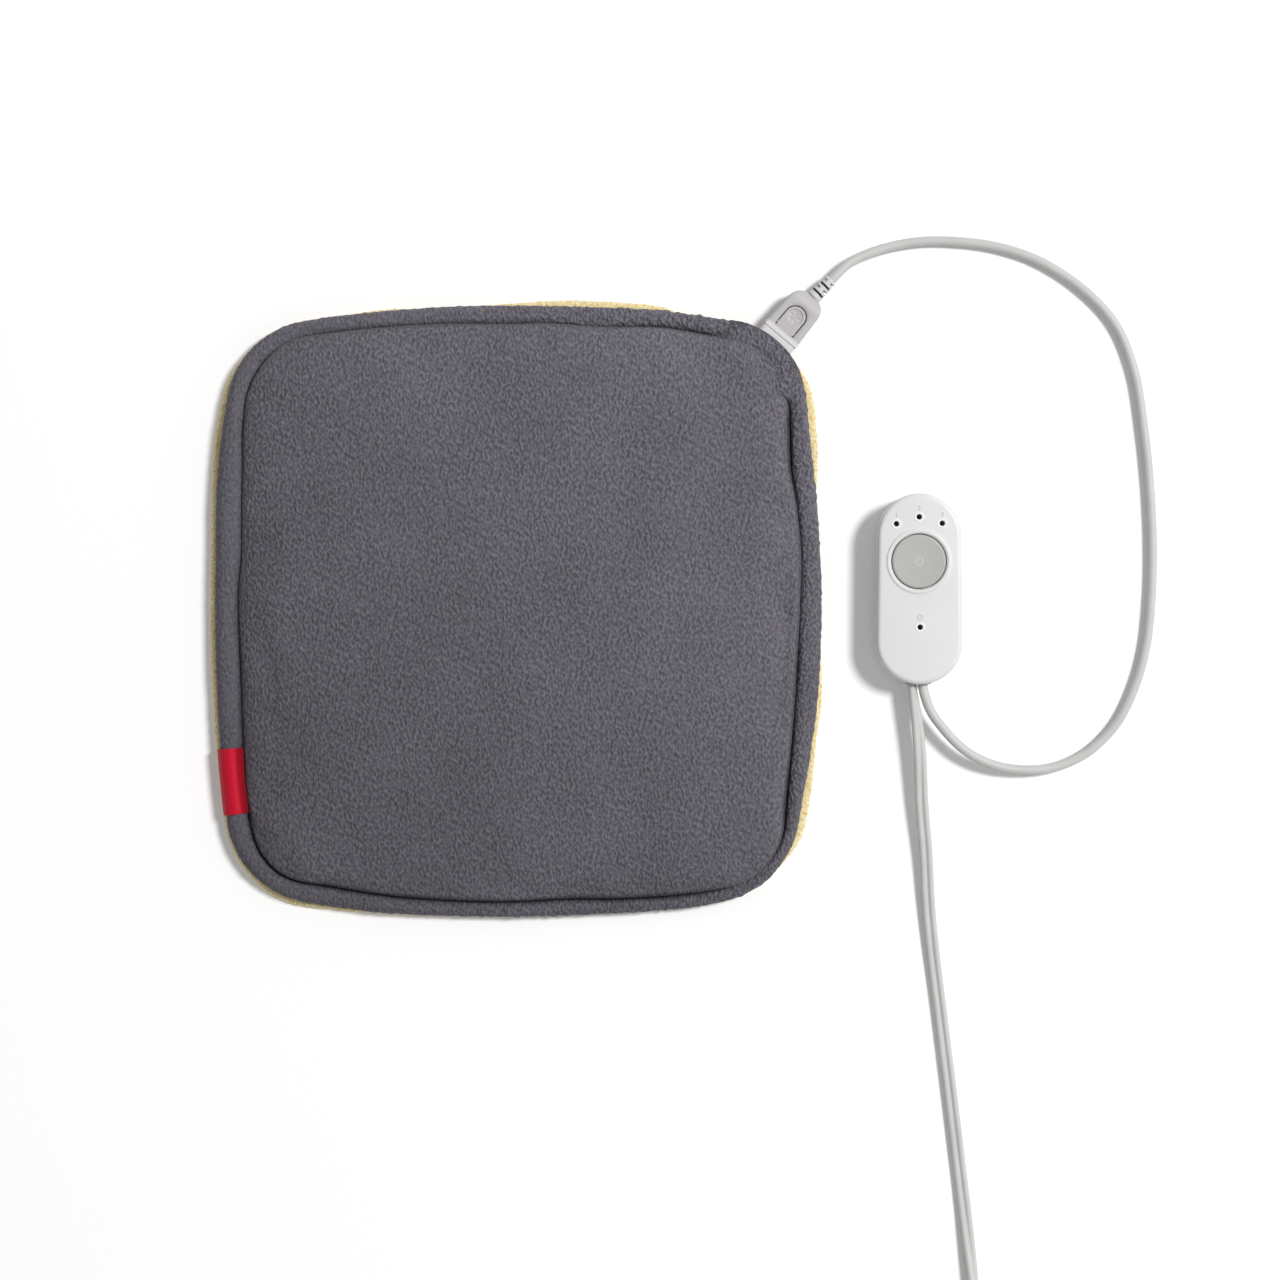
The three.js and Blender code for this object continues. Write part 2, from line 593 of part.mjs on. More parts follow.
function coverBack() {
  const rings = [];
  for (let step = 0; step <= BACK_EDGE_STEPS; step += 1) {
    const angle = Math.PI * (step / BACK_EDGE_STEPS - 0.5);
    const inset = BACK_EDGE_ROUND * (1 - Math.cos(angle));
    rings.push(padRing(inset - BACK_REVEAL, BACK_SHIFT, BACK_THICKNESS / 2 * (1 + Math.sin(angle))));
  }
  const low = new THREE.Vector3(BACK_SHIFT[0], BACK_SHIFT[1], 0);
  return loft(low, rings, low.clone().setZ(BACK_THICKNESS));
}

function coreSheet(z) {
  const low = padRing(CORE_INSET, FRONT_SHIFT, z);
  const high = padRing(CORE_INSET, FRONT_SHIFT, z + SHEET_THICKNESS);
  return loft(frontMiddle(z), [low, high], frontMiddle(z + SHEET_THICKNESS));
}

function coreWadding() {
  const shoulderInset = BORDER_WIDTH + SHOULDER_WIDTH;
  const edgeInset = (CORE_INSET + shoulderInset) / 2;
  const rings = [
    padRing(edgeInset, FRONT_SHIFT, WADDING_Z),
    padRing(edgeInset, FRONT_SHIFT, WADDING_Z + WADDING_EDGE / 2),
    padRing(shoulderInset, FRONT_SHIFT, SHOULDER_Z - SKIN - WADDING_GAP),
    ...CROWN_RINGS.map((share) => crownRing(share, crownHeight(share) - SKIN - WADDING_GAP)),
  ];
  return loft(frontMiddle(WADDING_Z), rings, frontMiddle(crownHeight(0) - SKIN - WADDING_GAP));
}

// Serpentine of straight runs joined by half turns, from the right to the left
const firstRunX = (RUN_COUNT - 1) * RUN_PITCH / 2;

function heatingWire() {
  const path = [];
  for (let run = 0; run < RUN_COUNT; run += 1) {
    const x = firstRunX - run * RUN_PITCH;
    const sense = run % 2 === 0 ? 1 : -1;
    path.push(new THREE.Vector3(x, sense * RUN_HALF, WIRE_Z));
    const steps = run < RUN_COUNT - 1 ? TURN_STEPS : 1;
    for (let step = 0; step < steps; step += 1) {
      const angle = Math.PI * step / TURN_STEPS;
      const turnX = x - RUN_PITCH / 2 + RUN_PITCH / 2 * Math.cos(angle);
      const turnY = -sense * (RUN_HALF + RUN_PITCH / 2 * Math.sin(angle));
      path.push(new THREE.Vector3(turnX, turnY, WIRE_Z));
    }
  }
  const section = ellipse(WIRE_DIAMETER / 2, WIRE_DIAMETER / 2, 8);
  return sweep(path, section, path.map(() => 0));
}

const thermostatNear = RUN_HALF + FIT;
const thermostatFar = thermostatNear + THERMOSTAT_LENGTH;

function thermostat(x) {
  const half = THERMOSTAT_WIDTH / 2;
  const low = WIRE_Z - WIRE_DIAMETER / 2;
  return block([x - half, thermostatNear, low], [x + half, thermostatFar, low + WIRE_DIAMETER]);
}

// End of a feed wire at the back of the socket, and a point one step behind it
function socketTail(side) {
  const back = -SOCKET_DEPTH - FIT;
  const places = [[back - RUN_PITCH / 3, side], [back, side]];
  return places.map(([x, y]) => {
    const point = new THREE.Vector3(x, y, WIRE_Z);
    return point.applyAxisAngle(new THREE.Vector3(0, 0, 1), CONNECTOR_ANGLE).add(connectorPlace);
  });
}

function feedWire(name) {
  const toStart = name === 'start';
  const x = toStart ? firstRunX : -firstRunX;
  const first = new THREE.Vector3(x, thermostatFar + FIT, WIRE_Z);
  const second = first.clone().setY(thermostatFar + FEED_DIAMETER * 2);
  const side = (toStart ? -1 : 1) * SOCKET_HALF_WIDTH / 2;
  const across = toStart ? [] : [
    new THREE.Vector3(x + RUN_PITCH / 2, FEED_RETURN_Y, WIRE_Z),
    new THREE.Vector3(0, FEED_RETURN_Y, WIRE_Z),
    new THREE.Vector3(firstRunX - RUN_PITCH / 2, FEED_RETURN_Y, WIRE_Z),
  ];
  return tube([first, second, ...across, ...socketTail(side)], FEED_DIAMETER, 8, FEED_STEPS[name]);
}

// Woven tag folded over the left border, from the seam out and round the edge
function sideTag() {
  const lift = FIT + TAG_THICKNESS;
  const edgeZ = CORE_Z + BORDER_EDGE;
  const covered = BORDER_SHARES.filter((share) => share > 0 && share <= TAG_END_SHARE);
  const profile = covered.map(borderPoint).reverse();
  const outer = profile.map(([inset, z]) => [inset, z + lift]);
  const inner = profile.map(([inset, z]) => [inset, z + FIT]).reverse();
  const fold = [[-lift, edgeZ + lift], [-lift, edgeZ], [-FIT, edgeZ], [-FIT, edgeZ + FIT]];
  const outline = [...outer, ...fold, ...inner].map(([inset, z]) => new THREE.Vector2(inset, z));
  const options = { depth: TAG_WIDTH, bevelEnabled: false };
  const geometry = new THREE.ExtrudeGeometry(new THREE.Shape(outline), options);
  geometry.translate(0, 0, -TAG_WIDTH / 2).rotateX(Math.PI / 2);
  const lean = Math.asin((TAG_MIDDLE_Y - FRONT_SHIFT[1]) / SIDE_RADIUS);
  const edgeX = SIDE_RADIUS - PAD_HALF - SIDE_RADIUS * Math.cos(lean);
  return geometry.rotateZ(-lean).translate(edgeX + FRONT_SHIFT[0], TAG_MIDDLE_Y, 0);
}

// Places of the contacts across the connector
const contactPlaces = [];
for (let contact = 0; contact < CONTACT_COUNT; contact += 1) {
  contactPlaces.push((contact - (CONTACT_COUNT - 1) / 2) * CONTACT_PITCH);
}

const cavityBack = MOUTH_X - NOSE_REACH - FIT;
const pinFront = cavityBack + PIN_REACH;

function socketHousing() {
  const body = block(
    [-SOCKET_DEPTH, -SOCKET_HALF_WIDTH, CORE_Z],
    [MOUTH_X, SOCKET_HALF_WIDTH, SOCKET_TOP],
  );
  const cavity = block(
    [cavityBack, -CAVITY_HALF_WIDTH, CAVITY_FLOOR],
    [MOUTH_X + OVERCUT, CAVITY_HALF_WIDTH, CAVITY_TOP],
  );
  const bores = contactPlaces.map((y) => (
    rod(PIN_RADIUS + FIT, y, CONTACT_Z, -SOCKET_DEPTH - OVERCUT, cavityBack + OVERCUT)
  ));
  const ledges = [-1, 1].flatMap((side) => {
    const inner = side * (CAVITY_HALF_WIDTH - LEDGE_WIDTH);
    const outer = side * (CAVITY_HALF_WIDTH + SOCKET_SIDE_WALL / 2);
    const low = Math.min(inner, outer);
    const high = Math.max(inner, outer);
    const rib = MOUTH_X - LATCH_REACH + LATCH_WING_LENGTH + FIT;
    return [
      block([cavityBack - EMBED, low, NOSE_TOP + FIT], [MOUTH_X, high, LEDGE_TOP]),
      block([rib, low, NOSE_TOP + FIT], [rib + CATCH_LENGTH, high, LEDGE_TOP + CATCH_RIB]),
    ];
  });
  return join(cut(body, cavity, ...bores), ...ledges);
}

function socketPin(y) {
  return rod(PIN_RADIUS, y, CONTACT_Z, -SOCKET_DEPTH, pinFront);
}

// Plan outline of the plug: tapering sides and a round cord end
function plugOutline(inset) {
  const front = PLUG_WIDTH_FRONT / 2 - inset;
  const back = PLUG_WIDTH_BACK / 2 - inset;
  const end = PLUG_LENGTH - inset;
  const round = PLUG_END_ROUND - inset;
  const outline = new THREE.Shape();
  outline.moveTo(PLUG_FRONT_X, -front);
  outline.lineTo(end - round, -back);
  outline.absarc(end - round, -back + round, round, -Math.PI / 2, 0, false);
  outline.absarc(end - round, back - round, round, 0, Math.PI / 2, false);
  outline.lineTo(PLUG_FRONT_X, front);
  return outline.getPoints(PLUG_ROUND_STEPS);
}

// Half of the plug between its parting face and its outer face, whose edge is bevelled
function plugHalf(parting, face) {
  const inward = Math.sign(parting - face);
  const levels = [[0, parting], [0, face + inward * PLUG_BEVEL], [PLUG_BEVEL, face]];
  const rings = levels.map(([inset, z]) => (
    plugOutline(inset).map((point) => new THREE.Vector3(point.x, point.y, z))
  ));
  const middle = (PLUG_FRONT_X + PLUG_LENGTH) / 2;
  return loft(new THREE.Vector3(middle, 0, parting), rings, new THREE.Vector3(middle, 0, face));
}

const insertEnd = PLUG_FRONT_X + INSERT_BACK;
const bootRootX = PLUG_LENGTH - BOOT_FLANGE - BOOT_NECK - PLUG_BEVEL;

// Spaces that both plug halves leave for the contact carrier and for the boot's root
function plugSpaces() {
  const half = NOSE_HALF_WIDTH + FIT;
  const carrier = block(
    [PLUG_FRONT_X - OVERCUT, -half, CONTACT_Z - NOSE_HALF_HEIGHT - FIT],
    [insertEnd + FIT, half, NOSE_TOP + FIT],
  );
  const wires = rod(PAD_LEAD_DIAMETER / 2, 0, CONTACT_Z, insertEnd, bootRootX + BOOT_FLANGE);
  const flange = rod(BOOT_FLANGE_RADIUS + FIT, 0, 0, -FIT, BOOT_FLANGE + FIT);
  const neck = rod(BOOT_CORE_HALF * 2 + FIT, 0, 0, 0, BOOT_START + OVERCUT);
  for (const space of [flange, neck]) {
    space.rotateZ(BOOT_YAW).translate(bootRootX, 0, CONTACT_Z);
  }
  return [carrier, wires, flange, neck];
}

// Plan outline of the latch's tongue, grown by a gap
function tongueOutline(grow) {
  const radius = LATCH_RADIUS + grow;
  const outline = new THREE.Shape();
  outline.moveTo(LATCH_FRONT_X - grow, -radius);
  outline.lineTo(LATCH_END_X, -radius);
  outline.absarc(LATCH_END_X, 0, radius, -Math.PI / 2, Math.PI / 2, false);
  outline.lineTo(LATCH_FRONT_X - grow, radius);
  return outline;
}

function extruded(outline, low, high) {
  const options = { depth: high - low, bevelEnabled: false, curveSegments: 8 };
  return new THREE.ExtrudeGeometry(outline, options).translate(0, 0, low);
}

const stubZ = TONGUE_TOP - LATCH_THICKNESS / 2 - STUB_RADIUS / 2;

function latchStubs(radius, half) {
  return new THREE.CylinderGeometry(radius, radius, 2 * half, 12).translate(LATCH_PIVOT_X, 0, stubZ);
}

function plugShellTop() {
  const half = LATCH_ARM_HALF + FIT;
  const window = extruded(tongueOutline(LATCH_GROOVE), NOSE_TOP, PLUG_TOP + OVERCUT);
  const armWay = block([PLUG_FRONT_X - OVERCUT, -half, NOSE_TOP], [LATCH_FRONT_X + EMBED, half, BRIDGE_Z]);
  const sockets = latchStubs(STUB_RADIUS + FIT, LATCH_RADIUS + STUB_LENGTH + FIT);
  return cut(plugHalf(CONTACT_Z + FIT / 2, PLUG_TOP), ...plugSpaces(), window, armWay, sockets);
}

function plugShellBottom() {
  return cut(plugHalf(CONTACT_Z - FIT / 2, PLUG_BOTTOM), ...plugSpaces());
}

// Contact carrier with the nose that enters the socket
function plugInsert() {
  const body = block(
    [MOUTH_X - NOSE_REACH, -NOSE_HALF_WIDTH, CONTACT_Z - NOSE_HALF_HEIGHT],
    [insertEnd, NOSE_HALF_WIDTH, NOSE_TOP],
  );
  const bores = contactPlaces.map((y) => (
    rod(CONTACT_BORE, y, CONTACT_Z, MOUTH_X - NOSE_REACH - OVERCUT, insertEnd + OVERCUT)
  ));
  return cut(body, ...bores);
}

// Sleeve that takes a socket pin
function plugContact(y) {
  const from = MOUTH_X - NOSE_REACH + FIT;
  const sleeve = rod(CONTACT_RADIUS, y, CONTACT_Z, from, insertEnd - FIT);
  const bore = rod(CONTACT_INNER, y, CONTACT_Z, from - OVERCUT, pinFront + FIT * 2);
  return cut(sleeve, bore);
}

// Rocking latch: thumb tongue, arm into the socket with two wings, and two stubs to rock on
function plugLatch() {
  const tongueZ = TONGUE_TOP - LATCH_THICKNESS;
  const tongue = extruded(tongueOutline(0), tongueZ, TONGUE_TOP);
  const neckEnd = LATCH_FRONT_X + LATCH_THICKNESS;
  const neck = block([LATCH_FRONT_X, -LATCH_ARM_HALF, ARM_Z], [neckEnd, LATCH_ARM_HALF, tongueZ + EMBED]);
  const armEnd = MOUTH_X - LATCH_REACH;
  const arm = block([armEnd, -LATCH_ARM_HALF, ARM_Z], [LATCH_FRONT_X + EMBED, LATCH_ARM_HALF, ARM_TOP]);
  const wing = CAVITY_HALF_WIDTH - FIT;
  const wings = block([armEnd, -wing, ARM_Z], [armEnd + LATCH_WING_LENGTH, wing, ARM_TOP]);
  const stubs = latchStubs(STUB_RADIUS, LATCH_RADIUS + STUB_LENGTH);
  const bowl = new THREE.SphereGeometry(1, DIMPLE_SIDES, DIMPLE_SIDES / 2)
    .rotateX(Math.PI / 2)
    .scale(DIMPLE_RADIUS, DIMPLE_RADIUS, DIMPLE_DEPTH)
    .translate(LATCH_END_X, 0, TONGUE_TOP);
  return cut(join(tongue, neck, arm, wings, stubs), bowl);
}

// Boot with slots that leave a bar across it, turned a quarter from one slot to the next
function plugBoot() {
  const profile = [
    [0, 0], [BOOT_FLANGE_RADIUS, 0], [BOOT_FLANGE_RADIUS, BOOT_FLANGE],
    [BOOT_CORE_HALF * 2, BOOT_FLANGE], [BOOT_CORE_HALF * 2, BOOT_START], [BOOT_ROOT_RADIUS, BOOT_START],
    [BOOT_TIP_RADIUS, BOOT_START + BOOT_LENGTH], [0, BOOT_START + BOOT_LENGTH],
  ];
  const boot = turned(profile, 0, 0, 16);
  const slots = [];
  for (let slot = 0; slot < BOOT_SLOTS; slot += 1) {
    const low = BOOT_START + BOOT_FIRST_SLOT + slot * BOOT_SLOT_PITCH;
    const reach = BOOT_ROOT_RADIUS + OVERCUT;
    for (const side of [-1, 1]) {
      const near = side * BOOT_CORE_HALF;
      const far = side * reach;
      const from = Math.min(near, far);
      const to = Math.max(near, far);
      const across = slot % 2 === 0;
      slots.push(across
        ? block([-reach, from, low], [reach, to, low + BOOT_SLOT])
        : block([from, -reach, low], [to, reach, low + BOOT_SLOT]));
    }
  }
  return cut(boot, ...slots).rotateY(Math.PI / 2);
}

// Share by which the controller's width differs at a place along it from that at its middle
function taperAt(y) {
  return 1 - CONTROLLER_TAPER * y / CONTROLLER_HALF_WIDTH;
}

// Tapered stadium ring of the controller moved in by an inset
function stadiumRing(inset, z) {
  const radius = CONTROLLER_HALF_WIDTH - inset;
  const reach = CONTROLLER_HALF_LENGTH - CONTROLLER_HALF_WIDTH;
  const ring = [];
  for (const end of [0, 1]) {
    for (let step = 0; step <= END_STEPS; step += 1) {
      const angle = Math.PI * (end + step / END_STEPS);
      const y = radius * Math.sin(angle) + (end === 0 ? reach : -reach);
      ring.push(new THREE.Vector3(radius * Math.cos(angle) * taperAt(y), y, z));
    }
  }
  return ring;
}

// Rings of a rounded edge from a wall up or down to a flat face
function roundedEdge(round, wallZ, faceZ, steps) {
  const rings = [];
  for (let step = 0; step <= steps; step += 1) {
    const angle = Math.PI / 2 * step / steps;
    rings.push([round * (1 - Math.cos(angle)), wallZ + (faceZ - wallZ) * Math.sin(angle)]);
  }
  return rings;
}

// Shell of the controller: an outer skin and an inner skin one wall inside it, joined at the rim
function controllerShell(rimZ, faceZ, round, steps) {
  const towards = Math.sign(faceZ - rimZ);
  const shoulderZ = faceZ - towards * round;
  const outer = [[0, rimZ], ...roundedEdge(round, shoulderZ, faceZ, steps)];
  const innerFace = faceZ - towards * CONTROLLER_WALL;
  const innerRound = round - CONTROLLER_WALL / 2;
  const innerShoulder = innerFace - towards * innerRound;
  const innerEdge = roundedEdge(innerRound, innerShoulder, innerFace, steps - 1);
  const inner = [[0, rimZ], ...innerEdge].map(([inset, z]) => [inset + CONTROLLER_WALL, z]);
  const rings = [...outer.reverse(), ...inner].map(([inset, z]) => stadiumRing(inset, z));
  return loft(new THREE.Vector3(0, 0, faceZ), rings, new THREE.Vector3(0, 0, innerFace));
}

const grommetHalfHeight = MAINS_WIDTH / 2 + FIT + GROMMET_WALL;
const grommetLeft = MAINS_EXIT_X - MAINS_THICKNESS / 2 - FIT - GROMMET_WALL;
const grommetRight = PAD_LEAD_EXIT_X + PAD_LEAD_DIAMETER / 2 + FIT + GROMMET_WALL;
const endWallY = -CONTROLLER_HALF_LENGTH;
const flangeReach = Math.max(-grommetLeft, grommetRight) + GROMMET_FLANGE;
const innerRadius = CONTROLLER_HALF_WIDTH - CONTROLLER_WALL;
const ringReach = flangeReach / taperAt(endWallY);
const endWallSag = innerRadius - Math.sqrt(innerRadius ** 2 - ringReach ** 2);
const flangeY = endWallY + CONTROLLER_WALL + endWallSag + 2 * FIT;

// Slot through both shells for the grommet
function grommetSlot() {
  return block(
    [grommetLeft - FIT, endWallY - OVERCUT, EXIT_Z - grommetHalfHeight - FIT],
    [grommetRight + FIT, flangeY, EXIT_Z + grommetHalfHeight + FIT],
  );
}

function controllerTop() {
  const shell = controllerShell(PARTING_Z + FIT / 2, CONTROLLER_HEIGHT, TOP_EDGE_ROUND, TOP_EDGE_STEPS);
  const bosses = SCREW_PLACES.map(([x, y]) => (
    post(SCREW_RADIUS + FIT + BOSS_WALL, x, y, PARTS_Z, CEILING_Z + EMBED, 12)
  ));
  const pilots = SCREW_PLACES.map(([x, y]) => (
    post(SCREW_RADIUS + FIT, x, y, PARTS_Z - OVERCUT, SCREW_SINK + SCREW_HEAD + SCREW_LENGTH + FIT, 12)
  ));
  const [x, y] = BUTTON_PLACE;
  const outer = BUTTON_HOLE + BEZEL_WIDTH;
  const bezelFloor = CONTROLLER_HEIGHT - BEZEL_DEPTH;
  const above = CONTROLLER_HEIGHT + OVERCUT;
  const below = CEILING_Z - OVERCUT;
  const bezel = turned([
    [0, bezelFloor], [BUTTON_HOLE, bezelFloor], [outer, CONTROLLER_HEIGHT],
    [outer, above], [0, above],
  ], x, y, BUTTON_SIDES);
  const buttonHole = post(BUTTON_HOLE, x, y, below, above, BUTTON_SIDES);
  const pocketLow = BUTTON_BOTTOM - BUTTON_TRAVEL - FIT;
  const pocket = post(BUTTON_FLANGE_RADIUS + FIT, x, y, pocketLow, CEILING_Z, BUTTON_SIDES);
  const ledHoles = Object.values(ledPlaces).map(([ledX, ledY]) => (
    post(LED_RADIUS + FIT, ledX, ledY, below, above, LED_SIDES)
  ));
  return cut(join(shell, ...bosses), ...pilots, bezel, buttonHole, pocket, ...ledHoles, grommetSlot());
}

function controllerBottom() {
  const shell = controllerShell(PARTING_Z - FIT / 2, 0, BOTTOM_EDGE_ROUND, BOTTOM_EDGE_STEPS);
  const bore = SCREW_HEAD_RADIUS + FIT;
  const posts = SCREW_PLACES.map(([x, y]) => (
    post(bore + POST_WALL, x, y, CONTROLLER_WALL - EMBED, BOARD_Z - FIT, 12)
  ));
  const holes = SCREW_PLACES.flatMap(([x, y]) => [
    post(bore, x, y, -OVERCUT, SCREW_SINK + SCREW_HEAD + FIT, 12),
    post(SCREW_RADIUS + FIT, x, y, 0, BOARD_Z + OVERCUT, 12),
  ]);
  return cut(join(shell, ...posts), ...holes, grommetSlot());
}

function circuitBoard() {
  const x = BOARD_HALF_WIDTH - BOARD_CORNER;
  const y = BOARD_HALF_LENGTH - BOARD_CORNER;
  const outline = new THREE.Shape();
  for (let quarter = 0; quarter < 4; quarter += 1) {
    const from = quarter * Math.PI / 2;
    const signX = Math.sign(Math.cos(from + Math.PI / 4));
    const signY = Math.sign(Math.sin(from + Math.PI / 4));
    outline.absarc(signX * x, signY * y, BOARD_CORNER, from, from + Math.PI / 2, false);
  }
  const holes = SCREW_PLACES.map(([holeX, holeY]) => (
    post(SCREW_RADIUS + FIT, holeX, holeY, BOARD_Z - OVERCUT, BOARD_TOP + OVERCUT, 12)
  ));
  return cut(extruded(outline, BOARD_Z, BOARD_TOP), ...holes);
}

// Block that stands on the board
function boardBlock(x, y, width, length, height) {
  const low = [x - width / 2, y - length / 2, PARTS_Z];
  return block(low, [low[0] + width, low[1] + length, PARTS_Z + height]);
}

function boardPart({ size, at }, height = size[2]) {
  const [width, length] = size;
  return boardBlock(at[0], at[1] - BOARD_HALF_LENGTH, width, length, height);
}

function switchBody() {
  const [x, y] = BUTTON_PLACE;
  const body = boardBlock(x, y, SWITCH_SIZE, SWITCH_SIZE, SWITCH_TOP - PARTS_Z);
  return cut(body, post(PLUNGER_RADIUS + FIT, x, y, PARTS_Z + FIT, SWITCH_TOP + OVERCUT));
}

function switchPlunger() {
  return post(PLUNGER_RADIUS, ...BUTTON_PLACE, PLUNGER_BOTTOM, PLUNGER_TOP);
}

function powerButton() {
  const top = CONTROLLER_HEIGHT + BUTTON_PROUD;
  const dish = [1, 0.5, 0].map((share) => [
    (BUTTON_RADIUS - BUTTON_EDGE) * share,
    top - BUTTON_DISH * (1 - share * share),
  ]);
  const profile = [
    [0, STEM_BOTTOM], [STEM_RADIUS, STEM_BOTTOM], [STEM_RADIUS, BUTTON_BOTTOM],
    [BUTTON_FLANGE_RADIUS, BUTTON_BOTTOM], [BUTTON_FLANGE_RADIUS, BUTTON_FLANGE_TOP],
    [BUTTON_RADIUS, BUTTON_FLANGE_TOP], [BUTTON_RADIUS, top - BUTTON_EDGE], ...dish,
  ];
  return turned(profile, ...BUTTON_PLACE, BUTTON_SIDES);
}

// Places of the indicator lights from the controller's middle
const ledPlaces = {};
for (const [name, [x, fromTop]] of Object.entries(LED_FROM_TOP)) {
  ledPlaces[name] = [x, CONTROLLER_HALF_LENGTH - fromTop];
}
for (const [name, [x, fromBottom]] of Object.entries(LED_FROM_BOTTOM)) {
  ledPlaces[name] = [x, fromBottom - CONTROLLER_HALF_LENGTH];
}

function indicatorLight([x, y]) {
  const top = CONTROLLER_HEIGHT - LED_SINK;
  const dome = [0, 0.5, 1].map((share) => {
    const angle = share * Math.PI / 2;
    return [LED_RADIUS * Math.cos(angle), top - LED_DOME * (1 - Math.sin(angle))];
  });
  return turned([[0, PARTS_Z], [LED_RADIUS, PARTS_Z], ...dome], x, y, LED_SIDES);
}

function shellScrew([x, y]) {
  const headTop = SCREW_SINK + SCREW_HEAD;
  const end = headTop + SCREW_LENGTH;
  const profile = [
    [0, SCREW_SINK], [SCREW_HEAD_RADIUS, SCREW_SINK], [SCREW_HEAD_RADIUS, headTop],
    [SCREW_RADIUS, headTop], [SCREW_RADIUS, end - SCREW_RADIUS], [0, end],
  ];
  return turned(profile, x, y, 8);
}

// Rubber grommet in the controller's end, with an inner flange and a way for each lead
function cordGrommet() {
  const low = EXIT_Z - grommetHalfHeight;
  const high = EXIT_Z + grommetHalfHeight;
  const flangeEnd = flangeY + GROMMET_FLANGE_THICKNESS;
  const sleeve = block([grommetLeft, endWallY, low], [grommetRight, flangeEnd, high]);
  const flange = block(
    [grommetLeft - GROMMET_FLANGE, flangeY, low - GROMMET_FLANGE],
    [grommetRight + GROMMET_FLANGE, flangeEnd, high],
  );
  const round = new THREE.CylinderGeometry(1, 1, 2 * OVERCUT + LEAD_INSIDE, 16)
    .scale(PAD_LEAD_DIAMETER / 2 + FIT, 1, PAD_LEAD_DIAMETER / 2 + FIT)
    .translate(PAD_LEAD_EXIT_X, flangeY, EXIT_Z);
  const half = MAINS_THICKNESS / 2 + FIT;
  const flat = block(
    [MAINS_EXIT_X - half, endWallY - OVERCUT, EXIT_Z - MAINS_WIDTH / 2 - FIT],
    [MAINS_EXIT_X + half, flangeEnd + OVERCUT, EXIT_Z + MAINS_WIDTH / 2 + FIT],
  );
  return cut(join(sleeve, flange), round, flat);
}

// Two points of a lead inside the controller's end: its end, and where it leaves the grommet
function exitPoints(x) {
  const [placeX, placeY] = CONTROLLER_PLACE;
  const y = placeY + endWallY;
  return [
    new THREE.Vector3(placeX + x, y + LEAD_INSIDE, EXIT_Z),
    new THREE.Vector3(placeX + x, y, EXIT_Z),
  ];
}

// Tip of the plug's boot, where the round lead starts, and the direction in which it leaves
function bootTip() {
  const ahead = new THREE.Vector3(Math.cos(CONNECTOR_ANGLE), Math.sin(CONNECTOR_ANGLE), 0);
  const root = connectorPlace.clone().addScaledVector(ahead, bootRootX).setZ(CONTACT_Z);
  ahead.applyAxisAngle(new THREE.Vector3(0, 0, 1), BOOT_YAW);
  return { tip: root.addScaledVector(ahead, BOOT_START + BOOT_LENGTH + FIT), ahead };
}

function padLead() {
  const { tip, ahead } = bootTip();
  const second = tip.clone().addScaledVector(ahead, PAD_LEAD_DIAMETER / 2);
  const [inside, exit] = exitPoints(PAD_LEAD_EXIT_X);
  const points = [tip, second, ...vectors(PAD_LEAD_ROUTE), exit, inside];
  return tube(points, PAD_LEAD_DIAMETER, PAD_LEAD_SIDES, PAD_LEAD_STEPS);
}

// Smooth route of the flat lead from inside the controller to the start of the coil
function mainsCurve() {
  const last = new THREE.Vector3(...MAINS_ROUTE_END, COIL_Z);
  const points = [...exitPoints(MAINS_EXIT_X), ...vectors(MAINS_ROUTE), last];
  return new THREE.CatmullRomCurve3(points, false, 'centripetal');
}

// The lead leaves on edge, rolls flat on the surface and rolls on edge again before the coil
function mainsRoll(share) {
  const start = Math.max(1 - share / MAINS_FLAT_FROM, 0) ** 2;
  const end = THREE.MathUtils.smoothstep(share, MAINS_ROLL_FROM, 1);
  return Math.PI / 2 * Math.max(start, end);
}

function mainsLead() {
  const path = mainsCurve().getSpacedPoints(MAINS_STEPS);
  const rolls = path.map((point, place) => mainsRoll(place / MAINS_STEPS));
  return sweep(path, ellipse(MAINS_WIDTH / 2, MAINS_THICKNESS / 2, MAINS_SIDES), rolls);
}

